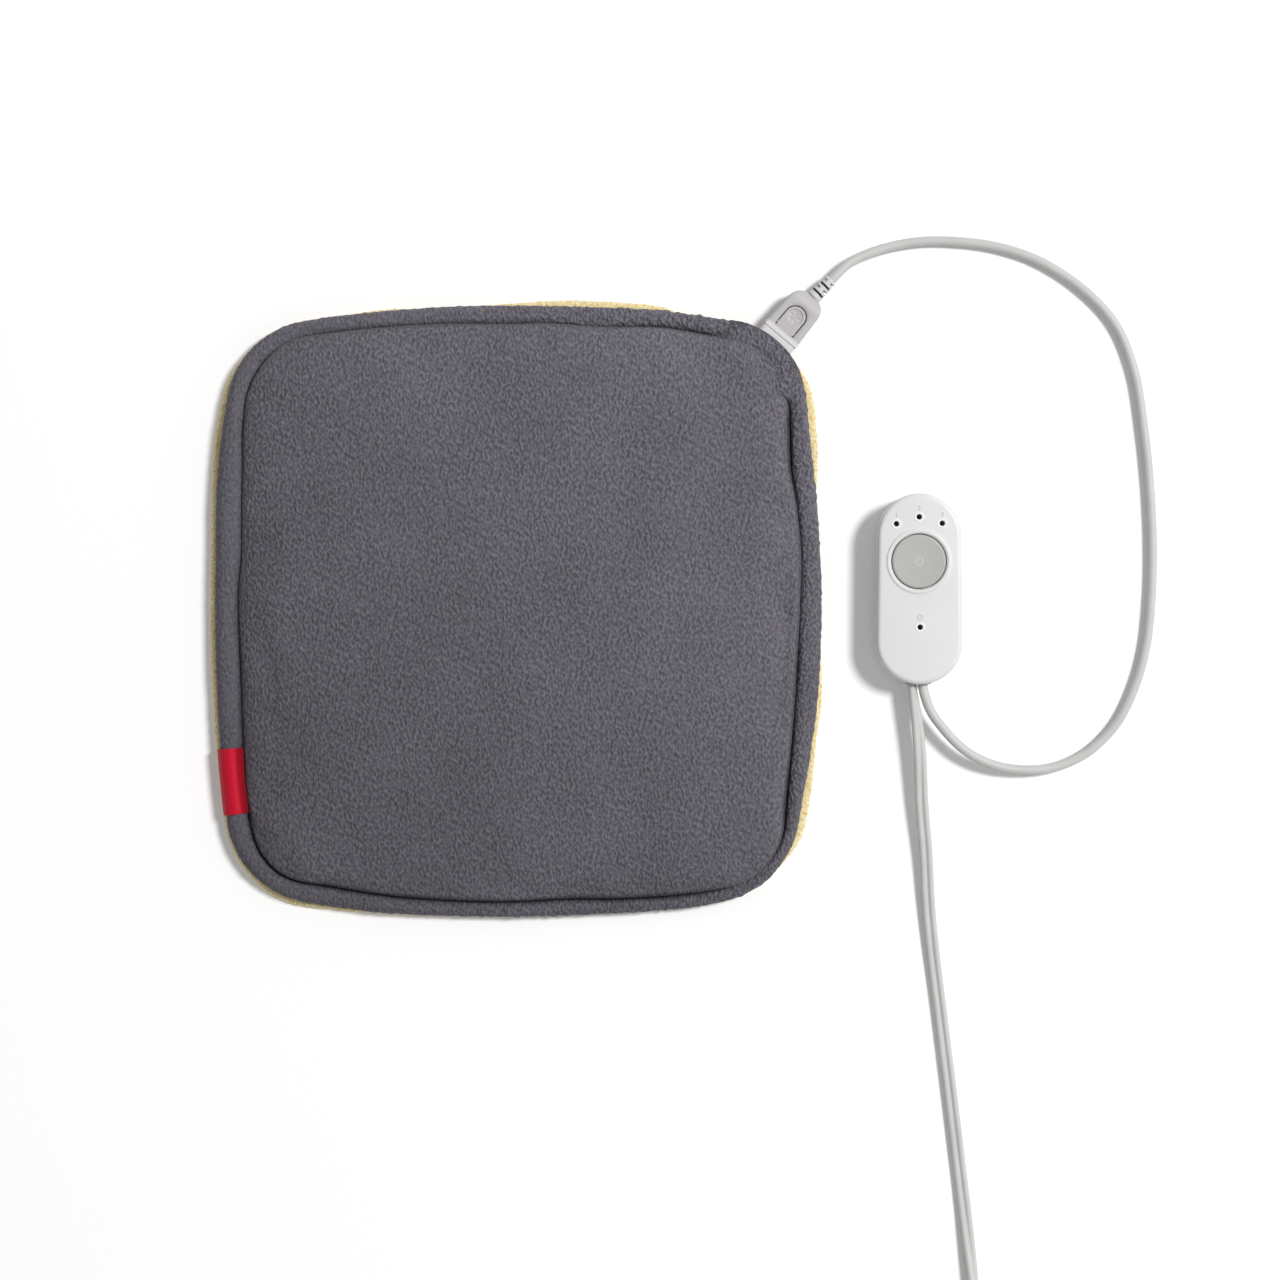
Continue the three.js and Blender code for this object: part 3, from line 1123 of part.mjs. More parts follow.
// Coil path: straight in, spiral in, a reversing half turn that climbs a layer, spiral out, straight off
function coilPath() {
  const route = mainsCurve();
  const ahead = route.getTangent(1).setZ(0).normalize();
  const start = route.getPoint(1).addScaledVector(ahead, FIT);
  const winding = start.clone().addScaledVector(ahead, MAINS_WIDTH);
  const centre = new THREE.Vector3(ahead.y, -ahead.x, 0).multiplyScalar(COIL_OUTER_RADIUS).add(winding);
  const startAngle = Math.atan2(winding.y - centre.y, winding.x - centre.x);
  const path = [start];
  const rolls = [Math.PI / 2];
  const layer = COIL_LAYER_TURNS * 2 * Math.PI;
  const steps = Math.round(COIL_TURNS * COIL_STEPS);
  const slope = COIL_PITCH / (2 * Math.PI);
  for (let step = 0; step <= steps; step += 1) {
    const wound = COIL_TURNS * 2 * Math.PI * step / steps;
    const past = THREE.MathUtils.clamp(wound - layer, 0, Math.PI);
    const inwards = Math.min(wound, layer);
    const outwards = Math.max(wound - layer - Math.PI, 0);
    const dip = slope * (past - past * past / Math.PI) + COIL_DIP * Math.sin(past) ** 2;
    const radius = COIL_OUTER_RADIUS - slope * (inwards - outwards) - dip;
    const angle = startAngle - wound;
    const climb = COIL_LAYER * THREE.MathUtils.smoothstep(past, 0, Math.PI);
    const x = centre.x + radius * Math.cos(angle);
    const y = centre.y + radius * Math.sin(angle);
    path.push(new THREE.Vector3(x, y, COIL_Z + climb));
    rolls.push(Math.PI / 2);
  }
  const leave = path[path.length - 1].clone();
  const endAngle = startAngle - COIL_TURNS * 2 * Math.PI;
  const off = new THREE.Vector3(Math.sin(endAngle), -Math.cos(endAngle), 0);
  const drop = leave.z - MAINS_PLUG_Z;
  for (let step = 0; step <= COIL_RUN_STEPS; step += 1) {
    const share = step / COIL_RUN_STEPS;
    const fall = THREE.MathUtils.smoothstep(share, 0, 1);
    const point = leave.clone().addScaledVector(off, COIL_RUN_LEVEL + COIL_RUN_DROP * share);
    path.push(point.setZ(leave.z - drop * fall));
    rolls.push(Math.PI / 2 * (1 - fall));
  }
  const end = path[path.length - 1].clone().addScaledVector(off, MAINS_WIDTH);
  path.push(end);
  rolls.push(0);
  return { path, rolls, centre, end, off };
}

const coil = coilPath();
const coilSection = [
  [MAINS_WIDTH / 2, 0], [MAINS_WIDTH / 4, MAINS_THICKNESS / 2], [-MAINS_WIDTH / 4, MAINS_THICKNESS / 2],
  [-MAINS_WIDTH / 2, 0], [-MAINS_WIDTH / 4, -MAINS_THICKNESS / 2], [MAINS_WIDTH / 4, -MAINS_THICKNESS / 2],
];

// Least gap between one stretch of the coil and the stretches at least half a turn away
function leastCoilGap() {
  const dense = coilSection.flatMap(([a, b], corner) => {
    const [nextA, nextB] = coilSection[(corner + 1) % coilSection.length];
    return Array.from({ length: GAP_POINTS }, (_, place) => {
      const share = place / GAP_POINTS;
      return [a + (nextA - a) * share, b + (nextB - b) * share];
    });
  });
  const rings = sectionRings(coil.path, dense, coil.rolls);
  let least = Infinity;
  for (let first = 0; first < rings.length; first += 1) {
    for (let second = first + COIL_STEPS / 2; second < rings.length; second += 1) {
      if (coil.path[first].distanceTo(coil.path[second]) < 2 * MAINS_WIDTH) {
        for (const a of rings[first]) {
          for (const b of rings[second]) {
            least = Math.min(least, a.distanceTo(b));
          }
        }
      }
    }
  }
  return least;
}

function pathLength(path) {
  return path.slice(1).reduce((sum, point, place) => sum + point.distanceTo(path[place]), 0);
}

console.log(`least gap of the coil to itself: ${leastCoilGap().toFixed(2)} mm`);
console.log(`mains lead: ${mainsCurve().getLength().toFixed(0)} mm to the coil, `
  + `${pathLength(coil.path).toFixed(0)} mm in the coil`);

// Strap round the coil's turns at one place
function coilTie() {
  const inner = COIL_INNER_RADIUS - MAINS_THICKNESS / 2 - COIL_PITCH / 2 - COIL_DIP - FIT;
  const outer = COIL_OUTER_RADIUS + MAINS_THICKNESS / 2 + FIT;
  const top = COIL_Z + COIL_LAYER + MAINS_WIDTH / 2 + FIT;
  const half = TIE_WIDTH / 2;
  const strap = block(
    [inner - TIE_THICKNESS, -half, 0],
    [outer + TIE_THICKNESS, half, top + TIE_THICKNESS],
  );
  const inside = block([inner, -half - OVERCUT, TIE_THICKNESS], [outer, half + OVERCUT, top]);
  return cut(strap, inside).rotateZ(TIE_ANGLE).translate(coil.centre.x, coil.centre.y, 0);
}

// Upright rounded rectangle across X
function roundedRing(x, halfWidth, halfHeight, corner, z) {
  const ring = [];
  for (let quarter = 0; quarter < 4; quarter += 1) {
    const middle = Math.PI / 4 + quarter * Math.PI / 2;
    const signY = Math.sign(Math.cos(middle));
    const signZ = Math.sign(Math.sin(middle));
    for (let step = 0; step <= ROUND_STEPS; step += 1) {
      const angle = middle + Math.PI / 2 * (step / ROUND_STEPS - 0.5);
      const y = signY * (halfWidth - corner) + corner * Math.cos(angle);
      ring.push(new THREE.Vector3(x, y, z + signZ * (halfHeight - corner) + corner * Math.sin(angle)));
    }
  }
  return ring;
}

// Ribbed boot that widens from the lead towards the mains plug
function mainsBoot() {
  const pitch = (MAINS_BOOT_LENGTH + MAINS_BOOT_GROOVE_WIDTH) / MAINS_BOOT_RIBS;
  const rings = [];
  const addRing = (x, sink) => {
    const grow = MAINS_BOOT_WALL + MAINS_BOOT_FLARE * x / MAINS_BOOT_LENGTH - sink;
    const halfHeight = MAINS_THICKNESS / 2 + grow;
    const corner = halfHeight * ROUND_SHARE;
    rings.push(roundedRing(FIT + x, MAINS_WIDTH / 2 + grow, halfHeight, corner, MAINS_PLUG_Z));
  };
  for (let rib = 0; rib < MAINS_BOOT_RIBS; rib += 1) {
    const ribEnd = (rib + 1) * pitch - MAINS_BOOT_GROOVE_WIDTH;
    addRing(rib * pitch, 0);
    addRing(ribEnd, 0);
    if (rib < MAINS_BOOT_RIBS - 1) {
      addRing(ribEnd, MAINS_BOOT_GROOVE);
      addRing(ribEnd + MAINS_BOOT_GROOVE_WIDTH, MAINS_BOOT_GROOVE);
    }
  }
  const end = new THREE.Vector3(FIT + MAINS_BOOT_LENGTH, 0, MAINS_PLUG_Z);
  return loft(new THREE.Vector3(FIT, 0, MAINS_PLUG_Z), rings, end);
}

const mainsPlugBack = FIT + MAINS_BOOT_LENGTH + FIT;
const mainsPlugFace = mainsPlugBack + MAINS_PLUG_LENGTH;

function mainsPlugBody() {
  const width = MAINS_PLUG_WIDTH / 2;
  const height = MAINS_PLUG_HEIGHT / 2;
  const grow = MAINS_BOOT_WALL + MAINS_BOOT_FLARE;
  const rootWidth = MAINS_WIDTH / 2 + grow;
  const rootHeight = MAINS_THICKNESS / 2 + grow;
  const rings = MAINS_PLUG_SHARES.map((share) => {
    const swell = Math.sin(share * Math.PI / 2) ** 2;
    const halfWidth = THREE.MathUtils.lerp(rootWidth, width, swell);
    const halfHeight = THREE.MathUtils.lerp(rootHeight, height, swell);
    const corner = THREE.MathUtils.lerp(rootHeight * ROUND_SHARE, MAINS_PLUG_CORNER, swell);
    const x = mainsPlugBack + MAINS_PLUG_SHOULDER * share;
    return roundedRing(x, halfWidth, halfHeight, corner, MAINS_PLUG_Z);
  });
  rings.push(roundedRing(mainsPlugFace, width, height, MAINS_PLUG_CORNER, MAINS_PLUG_Z));
  const back = new THREE.Vector3(mainsPlugBack, 0, MAINS_PLUG_Z);
  return loft(back, rings, new THREE.Vector3(mainsPlugFace, 0, MAINS_PLUG_Z));
}

function mainsBlade(side) {
  const y = side * BLADE.pitch / 2;
  const from = mainsPlugFace + FIT;
  return block(
    [from, y - BLADE.thickness / 2, MAINS_PLUG_Z - BLADE.width / 2],
    [from + BLADE.length, y + BLADE.thickness / 2, MAINS_PLUG_Z + BLADE.width / 2],
  );
}

// The pad
addPiece(model, 'cover_back', coverBack(), YELLOW_FLEECE, 0.95);
addPiece(model, 'core_sheet_lower', coreSheet(CORE_Z), FELT, 0.9);
addPiece(model, 'heating_wire', heatingWire(), WIRE_WHITE, 0.5);
addPiece(model, 'thermostat_start', thermostat(firstRunX), FELT, 0.5);
addPiece(model, 'thermostat_end', thermostat(-firstRunX), FELT, 0.5);
addPiece(model, 'feed_wire_start', feedWire('start'), WIRE_WHITE, 0.5);
addPiece(model, 'feed_wire_end', feedWire('end'), WIRE_WHITE, 0.5);
addPiece(model, 'core_sheet_upper', coreSheet(UPPER_SHEET_Z), FELT, 0.9);
addPiece(model, 'core_wadding', coreWadding(), FELT, 0.95);
addPiece(model, 'cover_front', coverFront(), GREY_FLEECE, 0.95);
addPiece(model, 'side_tag', sideTag(), TAG_RED, 0.6);

// The connector, in its own frame
const connector = new THREE.Group();
connector.position.copy(connectorPlace);
connector.rotation.z = CONNECTOR_ANGLE;
model.add(connector);
addPiece(connector, 'socket_housing', socketHousing(), COLLAR_GREY, 0.45);
contactPlaces.forEach((y, place) => {
  addPiece(connector, `socket_pin_${place + 1}`, socketPin(y), PLATED, 0.3, 1);
  addPiece(connector, `plug_contact_${place + 1}`, plugContact(y), PLATED, 0.3, 1);
});
addPiece(connector, 'plug_insert', plugInsert(), DARK, 0.5);
addPiece(connector, 'plug_shell_bottom', plugShellBottom(), PLUG_GREY, 0.45);
addPiece(connector, 'plug_shell_top', plugShellTop(), PLUG_GREY, 0.45);
addPiece(connector, 'plug_latch', plugLatch(), PLUG_GREY, 0.45);
const bootFrame = new THREE.Group();
bootFrame.position.set(bootRootX, 0, CONTACT_Z);
bootFrame.rotation.z = BOOT_YAW;
connector.add(bootFrame);
addPiece(bootFrame, 'plug_strain_relief', plugBoot(), LEAD_GREY, 0.5);

// The leads
addPiece(model, 'pad_lead', padLead(), LEAD_GREY, 0.45);
addPiece(model, 'mains_lead', mainsLead(), LEAD_GREY, 0.45);
addPiece(model, 'mains_coil', sweep(coil.path, coilSection, coil.rolls), LEAD_GREY, 0.45);
addPiece(model, 'coil_tie', coilTie(), DARK, 0.7);

// The controller, in its own frame
const controller = new THREE.Group();
controller.position.set(...CONTROLLER_PLACE, 0);
model.add(controller);
addPiece(controller, 'controller_shell_bottom', controllerBottom(), SHELL_WHITE, 0.4);
addPiece(controller, 'circuit_board', circuitBoard(), BOARD_GREEN, 0.5);
addPiece(controller, 'switch_body', switchBody(), DARK, 0.5);
addPiece(controller, 'switch_plunger', switchPlunger(), SHELL_WHITE, 0.5);
addPiece(controller, 'triac', boardPart(TRIAC), DARK, 0.5);
addPiece(controller, 'capacitor', boardPart(CAPACITOR, CAPACITOR_HEIGHT), CAPACITOR_YELLOW, 0.5);
addPiece(controller, 'fuse', boardPart(FUSE), DARK, 0.5);
addPiece(controller, 'microcontroller', boardPart(MICROCONTROLLER), DARK, 0.5);
for (const [name, place] of Object.entries(ledPlaces)) {
  addPiece(controller, name, indicatorLight(place), DARK, 0.2);
}
addPiece(controller, 'power_button', powerButton(), BUTTON_GREY, 0.4);
addPiece(controller, 'cord_grommet', cordGrommet(), DARK, 0.8);
addPiece(controller, 'controller_shell_top', controllerTop(), SHELL_WHITE, 0.4);
SCREW_PLACES.forEach((place, number) => {
  addPiece(controller, `shell_screw_${number + 1}`, shellScrew(place), STEEL, 0.35, 1);
});

// The mains plug, at the end of the coil
const mainsPlug = new THREE.Group();
mainsPlug.position.set(coil.end.x, coil.end.y, 0);
mainsPlug.rotation.z = Math.atan2(coil.off.y, coil.off.x);
model.add(mainsPlug);
addPiece(mainsPlug, 'mains_plug_relief', mainsBoot(), LEAD_GREY, 0.5);
addPiece(mainsPlug, 'mains_plug_body', mainsPlugBody(), LEAD_GREY, 0.45);
addPiece(mainsPlug, 'mains_plug_blade_left', mainsBlade(1), STEEL, 0.3, 1);
addPiece(mainsPlug, 'mains_plug_blade_right', mainsBlade(-1), STEEL, 0.3, 1);

export default model;
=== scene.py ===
import math

import bpy
import numpy as np
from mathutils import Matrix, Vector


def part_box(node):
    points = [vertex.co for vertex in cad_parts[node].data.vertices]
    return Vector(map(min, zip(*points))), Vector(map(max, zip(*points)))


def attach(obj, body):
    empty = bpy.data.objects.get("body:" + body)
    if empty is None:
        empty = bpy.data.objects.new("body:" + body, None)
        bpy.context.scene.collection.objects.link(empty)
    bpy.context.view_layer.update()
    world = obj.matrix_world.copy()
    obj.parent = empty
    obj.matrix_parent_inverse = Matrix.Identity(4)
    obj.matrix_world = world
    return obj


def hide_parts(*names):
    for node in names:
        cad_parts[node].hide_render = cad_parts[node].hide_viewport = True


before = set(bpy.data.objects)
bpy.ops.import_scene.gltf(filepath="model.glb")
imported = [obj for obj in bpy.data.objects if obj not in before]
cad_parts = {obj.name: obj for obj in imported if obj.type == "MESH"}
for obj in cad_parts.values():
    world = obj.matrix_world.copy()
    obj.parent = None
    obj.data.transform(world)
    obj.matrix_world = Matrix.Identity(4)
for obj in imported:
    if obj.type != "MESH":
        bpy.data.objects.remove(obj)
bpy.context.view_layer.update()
scene = bpy.context.scene
scene.view_settings.view_transform = "Standard"

# Shapes are worked out in millimetres: X to the right, Y up the picture, Z up from the floor
MM = 0.001
QUARTER = math.pi / 2
UP = np.array([0.0, 0.0, 1.0])


def linked(name, data):
    """New object in the scene."""
    item = bpy.data.objects.new(name, data)
    scene.collection.objects.link(item)
    return item


# Camera, straight down over the middle of the picture

PICTURE_MIDDLE = (61.5, -15.75)
PICTURE_WIDTH = 640
PICTURE_Z = 8
LENS = 90
SENSOR = 36


def set_camera():
    """Looks straight down from the height at which the sensor takes in the picture's width."""
    lens = bpy.data.cameras.new("camera")
    lens.lens = LENS
    lens.sensor_width = SENSOR
    height = PICTURE_Z + PICTURE_WIDTH * LENS / SENSOR
    scene.camera = linked("camera", lens)
    scene.camera.location = (PICTURE_MIDDLE[0] * MM, PICTURE_MIDDLE[1] * MM, height * MM)


# Skins: arrays of points with arrays of faces, closed and facing outwards

def smooth_step(share):
    """Rise from 0 to 1 with level ends: 3s^2 - 2s^3."""
    share = np.clip(share, 0, 1)
    return share * share * (3 - 2 * share)


def grid_quads(rows, columns, round_rows=False, round_columns=False):
    """Corner numbers of the quads between neighbouring points of a grid, numbered row by row."""
    row, column = np.meshgrid(
        np.arange(rows if round_rows else rows - 1),
        np.arange(columns if round_columns else columns - 1),
        indexing="ij",
    )
    next_row = (row + 1) % rows
    next_column = (column + 1) % columns
    corners = [
        row * columns + column,
        row * columns + next_column,
        next_row * columns + next_column,
        next_row * columns + column,
    ]
    return np.stack(corners, -1).reshape(-1, 4)


def outward(points, faces):
    """Turns all faces of a closed skin round where the volume they enclose comes out negative."""
    volume = 0.0
    for part in faces:
        first = points[part[:, 0]]
        for corner in range(1, part.shape[1] - 1):
            across = np.cross(points[part[:, corner]], points[part[:, corner + 1]])
            volume += np.sum(first * across)
    return points, ([part[:, ::-1] for part in faces] if volume < 0 else faces)


def lofted(rings, start=None, end=None):
    """Skin through closed rings of equal counts: quads between rings, and fans to a pole at each end.

    A pole that isn't given is the mean of its ring.
    """
    rings = np.asarray(rings, float)
    count, sides, _ = rings.shape
    start = rings[0].mean(0) if start is None else np.asarray(start, float)
    end = rings[-1].mean(0) if end is None else np.asarray(end, float)
    points = np.vstack([rings.reshape(-1, 3), start, end])
    here = np.arange(sides)
    following = (here + 1) % sides
    last = (count - 1) * sides
    pole = np.full(sides, count * sides)
    fans = np.vstack([
        np.stack([following, here, pole], 1),
        np.stack([last + here, last + following, pole + 1], 1),
    ])
    return outward(points, [grid_quads(count, sides, round_columns=True), fans])


def looped(rings):
    """Skin through closed rings of which the last joins the first, as on a shell with a hole in it."""
    rings = np.asarray(rings, float)
    count, sides, _ = rings.shape
    return outward(rings.reshape(-1, 3), [grid_quads(count, sides, True, True)])


def joined(*skins):
    """Several closed skins as one."""
    points = []
    faces = []
    first = 0
    for some_points, some_faces in skins:
        points.append(some_points)
        faces += [part + first for part in some_faces]
        first += len(some_points)
    return np.vstack(points), faces


def mesh_of(name, skin, **attributes):
    """Smooth shaded mesh in metres from a skin in millimetres, with values kept at its points."""
    points, faces = skin
    mesh = bpy.data.meshes.new(name)
    mesh.vertices.add(len(points))
    mesh.vertices.foreach_set("co", (points * MM).astype(np.float32).ravel())
    corners = np.concatenate([part.ravel() for part in faces])
    sizes = np.concatenate([np.full(len(part), part.shape[1]) for part in faces])
    mesh.loops.add(len(corners))
    mesh.loops.foreach_set("vertex_index", corners.astype(np.int32))
    mesh.polygons.add(len(sizes))
    mesh.polygons.foreach_set("loop_start", (np.cumsum(sizes) - sizes).astype(np.int32))
    mesh.polygons.foreach_set("use_smooth", np.ones(len(sizes), bool))
    for label, values in attributes.items():
        layer = mesh.attributes.new(label, "FLOAT", "POINT")
        layer.data.foreach_set("value", np.asarray(values, np.float32).ravel())
    mesh.update(calc_edges=True)
    return mesh


def set_out(name, mesh, finish, body, stands_for):
    """Object for a mesh: dressed, riding on its body, and standing for its CAD nodes."""
    mesh.materials.clear()
    mesh.materials.append(finish)
    item = linked(name, mesh)
    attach(item, body)
    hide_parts(*stands_for)
    return item


def make(name, skin, finish, body, stands_for, slot, crisp=None, **attributes):
    """Piece from a skin. Edges sharper than crisp degrees stay sharp in its shading."""
    mesh = mesh_of(name, skin, **attributes)
    if crisp:
        mesh.set_sharp_from_angle(angle=math.radians(crisp))
    return set_out(name, mesh, finish, body, stands_for)


def places_of(mesh):
    """Points of a mesh in metres."""
    places = np.empty(3 * len(mesh.vertices), np.float32)
    mesh.vertices.foreach_get("co", places)
    return places.reshape(-1, 3)


def node_box(node):
    """Lowest and highest corner of a CAD node in millimetres."""
    return [np.array(corner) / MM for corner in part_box(node)]


# Outlines, paths and what is carried along them

STRETCH_STEPS = 40
CORNER_STEPS = 25
ROUND_SHARE = 0.8


def unit(vectors):
    """Vectors drawn to a length of 1."""
    return vectors / np.linalg.norm(vectors, axis=-1, keepdims=True)


def run_along(line):
    """Length along a line of points, at each of them."""
    return np.concatenate([[0], np.cumsum(np.linalg.norm(np.diff(line, axis=0), axis=1))])


def even_steps(points, count, closed=False):
    """Points at even lengths along a line of points."""
    line = np.vstack([points, points[:1]]) if closed else points
    run = run_along(line)
    places = np.linspace(0, run[-1], count, endpoint=not closed)
    return np.stack([np.interp(places, run, line[:, axis]) for axis in range(line.shape[1])], 1)


def cubic(share, start, leave, end, arrive):
    """Cubic from start to end that leaves and arrives with given slopes."""
    square = share ** 2
    cube = share ** 3
    return (
        (2 * cube - 3 * square + 1) * start + (cube - 2 * square + share) * leave
        + (3 * square - 2 * cube) * end + (cube - square) * arrive
    )


def smooth_path(points, spacing):
    """Centripetal Catmull-Rom curve through points, in even steps of about the spacing.

    A stretch is a cubic whose end slopes weigh the chords around it by the roots of their lengths. The
    curve's ends carry on straight, by a mirrored point before the first and after the last.
    """
    points = np.asarray(points, float)
    line = np.vstack([2 * points[0] - points[1], points, 2 * points[-1] - points[-2]])
    gaps = np.sqrt(np.linalg.norm(np.diff(line, axis=0), axis=1))
    share = np.linspace(0, 1, STRETCH_STEPS, endpoint=False)[:, None]
    stretches = []
    for place in range(len(points) - 1):
        a, b, c, d = line[place:place + 4]
        before, here, after = gaps[place:place + 3]
        leave = ((b - a) / before - (c - a) / (before + here) + (c - b) / here) * here
        arrive = ((c - b) / here - (d - b) / (here + after) + (d - c) / after) * here
        stretches.append(cubic(share, b, leave, c, arrive))
    dense = np.vstack(stretches + [points[-1:]])
    return even_steps(dense, int(run_along(dense)[-1] / spacing) + 1)


def carried(path, section, roll=0.0):
    """Rings of a flat section carried along a path.

    The section's first axis lies level across the path and its second points up, and roll turns the first
    towards the second.
    """
    ahead = unit(np.gradient(path, axis=0))
    level = unit(np.cross(ahead, UP))
    rise = np.cross(level, ahead)
    roll = np.broadcast_to(roll, len(path))[:, None]
    first = (np.cos(roll) * level + np.sin(roll) * rise)[:, None]
    second = (np.cos(roll) * rise - np.sin(roll) * level)[:, None]
    return path[:, None] + section[None, :, :1] * first + section[None, :, 1:] * second


def full_turn(count, first=0.0):
    """Angles of a full turn in even steps."""
    return first + np.linspace(0, 2 * np.pi, count, endpoint=False)


def rays(angles):
    """Plan directions at angles."""
    return np.stack([np.cos(angles), np.sin(angles)], 1)


def circle(radius, sides):
    """Round section."""
    return radius * rays(full_turn(sides))


def rounded(corners, radii, count):
    """Closed outline in even steps: straight sides with a round arc in each corner, anticlockwise.

    The arc's centre lies on the corner's bisector, radius over the sine of half the corner's angle away.
    """
    corners = np.asarray(corners, float)
    radii = np.broadcast_to(radii, len(corners))
    arcs = []
    for place, corner in enumerate(corners):
        back = unit(corners[place - 1] - corner)
        onward = unit(corners[(place + 1) % len(corners)] - corner)
        half = math.acos(np.clip(back @ onward, -1, 1)) / 2
        middle = corner + unit(back + onward) * radii[place] / math.sin(half)
        heading = math.atan2(back[1], back[0]) + QUARTER
        sweep = np.linspace(0, math.pi - 2 * half, CORNER_STEPS)
        arcs.append(middle + radii[place] * rays(heading + sweep))
    return even_steps(np.vstack(arcs), count, closed=True)


def rectangle(half_width, half_height, radius, count):
    """Rounded rectangle about the origin."""
    x, y = half_width, half_height
    return rounded([(x, y), (-x, y), (-x, -y), (x, -y)], radius, count)


def on_rays(outline, middle, angles):
    """Where rays from a middle point cross an outline round it."""
    offset = outline - middle
    bearing = np.arctan2(offset[:, 1], offset[:, 0])
    distance = np.hypot(offset[:, 0], offset[:, 1])
    reach = np.interp(angles, bearing, distance, period=2 * math.pi)
    return middle + reach[:, None] * rays(angles)


def at_height(ring, z):
    """Flat ring lifted to a height."""
    return np.column_stack([ring, np.full(len(ring), z)])


def turned(profile, middle, sides):
    """Lathe form: a profile of radii and heights turned about an upright axis; its ends are poles."""
    rings = [at_height(middle + circle(radius, sides), z) for radius, z in profile]
    return lofted(rings, [*middle, profile[0][1]], [*middle, profile[-1][1]])


def section_rings(along, half_width, half_height, corner, sides=48):
    """Rounded rectangles of changing size at lengths along an axis."""
    rows = zip(*np.broadcast_arrays(along, half_width, half_height, corner))
    rings = [np.column_stack([np.full(sides, x), rectangle(w, h, r, sides)]) for x, w, h, r in rows]
    return np.array(rings)


def edge_arc(steps):
    """Pairs of trim and drop on a quarter round of radius 1, from its level end to its upright end."""
    angle = np.linspace(0, QUARTER, steps)
    return np.stack([1 - np.sin(angle), 1 - np.cos(angle)], 1)


# Seeded unevenness

LATTICE = 256
LATTICE_TURN = 0.6


def taps(share):
    """The four weights of a cubic B-spline at a share of a step."""
    return [
        (1 - share) ** 3 / 6,
        (3 * share ** 3 - 6 * share ** 2 + 4) / 6,
        (-3 * share ** 3 + 3 * share ** 2 + 3 * share + 1) / 6,
        share ** 3 / 6,
    ]


def soft_sample(values, row, column, repeat=False):
    """Values of a grid at broken rows and columns: the weighted mean of the 16 points around."""
    first_row = np.floor(row).astype(int)
    first_column = np.floor(column).astype(int)
    rows, columns = values.shape[:2]
    total = 0.0
    for row_step, row_weight in enumerate(taps(row - first_row)):
        for column_step, column_weight in enumerate(taps(column - first_column)):
            at_row = first_row + row_step - 1
            at_column = first_column + column_step - 1
            if repeat:
                at_row, at_column = at_row % rows, at_column % columns
            else:
                at_row, at_column = np.clip(at_row, 0, rows - 1), np.clip(at_column, 0, columns - 1)
            weight = row_weight * column_weight
            taken = values[at_row, at_column]
            total = total + (weight[..., None] if taken.ndim > weight.ndim else weight) * taken
    return total


def lumps(x, y, size, seed, even=False):
    """Smooth unevenness of about plus or minus 1 with lumps of a size: seeded values on a turned lattice.

    Even ones lose the mean of their four neighbours, which leaves nubs and no broad swells.
    """
    lattice = 2 * np.random.default_rng(seed).standard_normal((LATTICE, LATTICE))
    if even:
        beside = sum(np.roll(lattice, step, axis) for step in (-1, 1) for axis in (0, 1))
        lattice = 1.5 * (lattice - beside / 4)
    turn = LATTICE_TURN + seed
    across = (x * math.cos(turn) + y * math.sin(turn)) / size
    along = (y * math.cos(turn) - x * math.sin(turn)) / size
    return soft_sample(lattice, across, along, repeat=True)


def around(knots, turn):
    """Values given at turns round the pad, joined by smooth cubics.

    A turn counts quarters anticlockwise from the middle of the right side, where the first knot lies. The
    slope at a knot is that of the line between its neighbours.
    """
    turns, values = np.asarray(knots, float).T
    gaps = np.mod(np.roll(turns, -1) - turns, 4)
    slopes = (np.roll(values, -1) - np.roll(values, 1)) / (gaps + np.roll(gaps, 1))
    turn = np.mod(turn, 4)
    here = np.searchsorted(turns, turn, side="right") - 1
    onward = (here + 1) % len(turns)
    gap = gaps[here]
    share = (turn - turns[here]) / gap
    return cubic(share, values[here], gap * slopes[here], values[onward], gap * slopes[onward])


# Finishes

NUB = 1.4
STRAND = 0.5
PATCH = 7
NUB_DEPTH = 1.25
# Painted light: how much paler the fleece is painted per millimetre towards its upper right, the lamp's side
FLEECE_PAINTED_LIGHT = 0.0008


def linear(code):
    """Linear colour from a hex code."""
    parts = [int(code[place:place + 2], 16) / 255 for place in (1, 3, 5)]
    return [part / 12.92 if part <= 0.04045 else ((part + 0.055) / 1.055) ** 2.4 for part in parts] + [1.0]


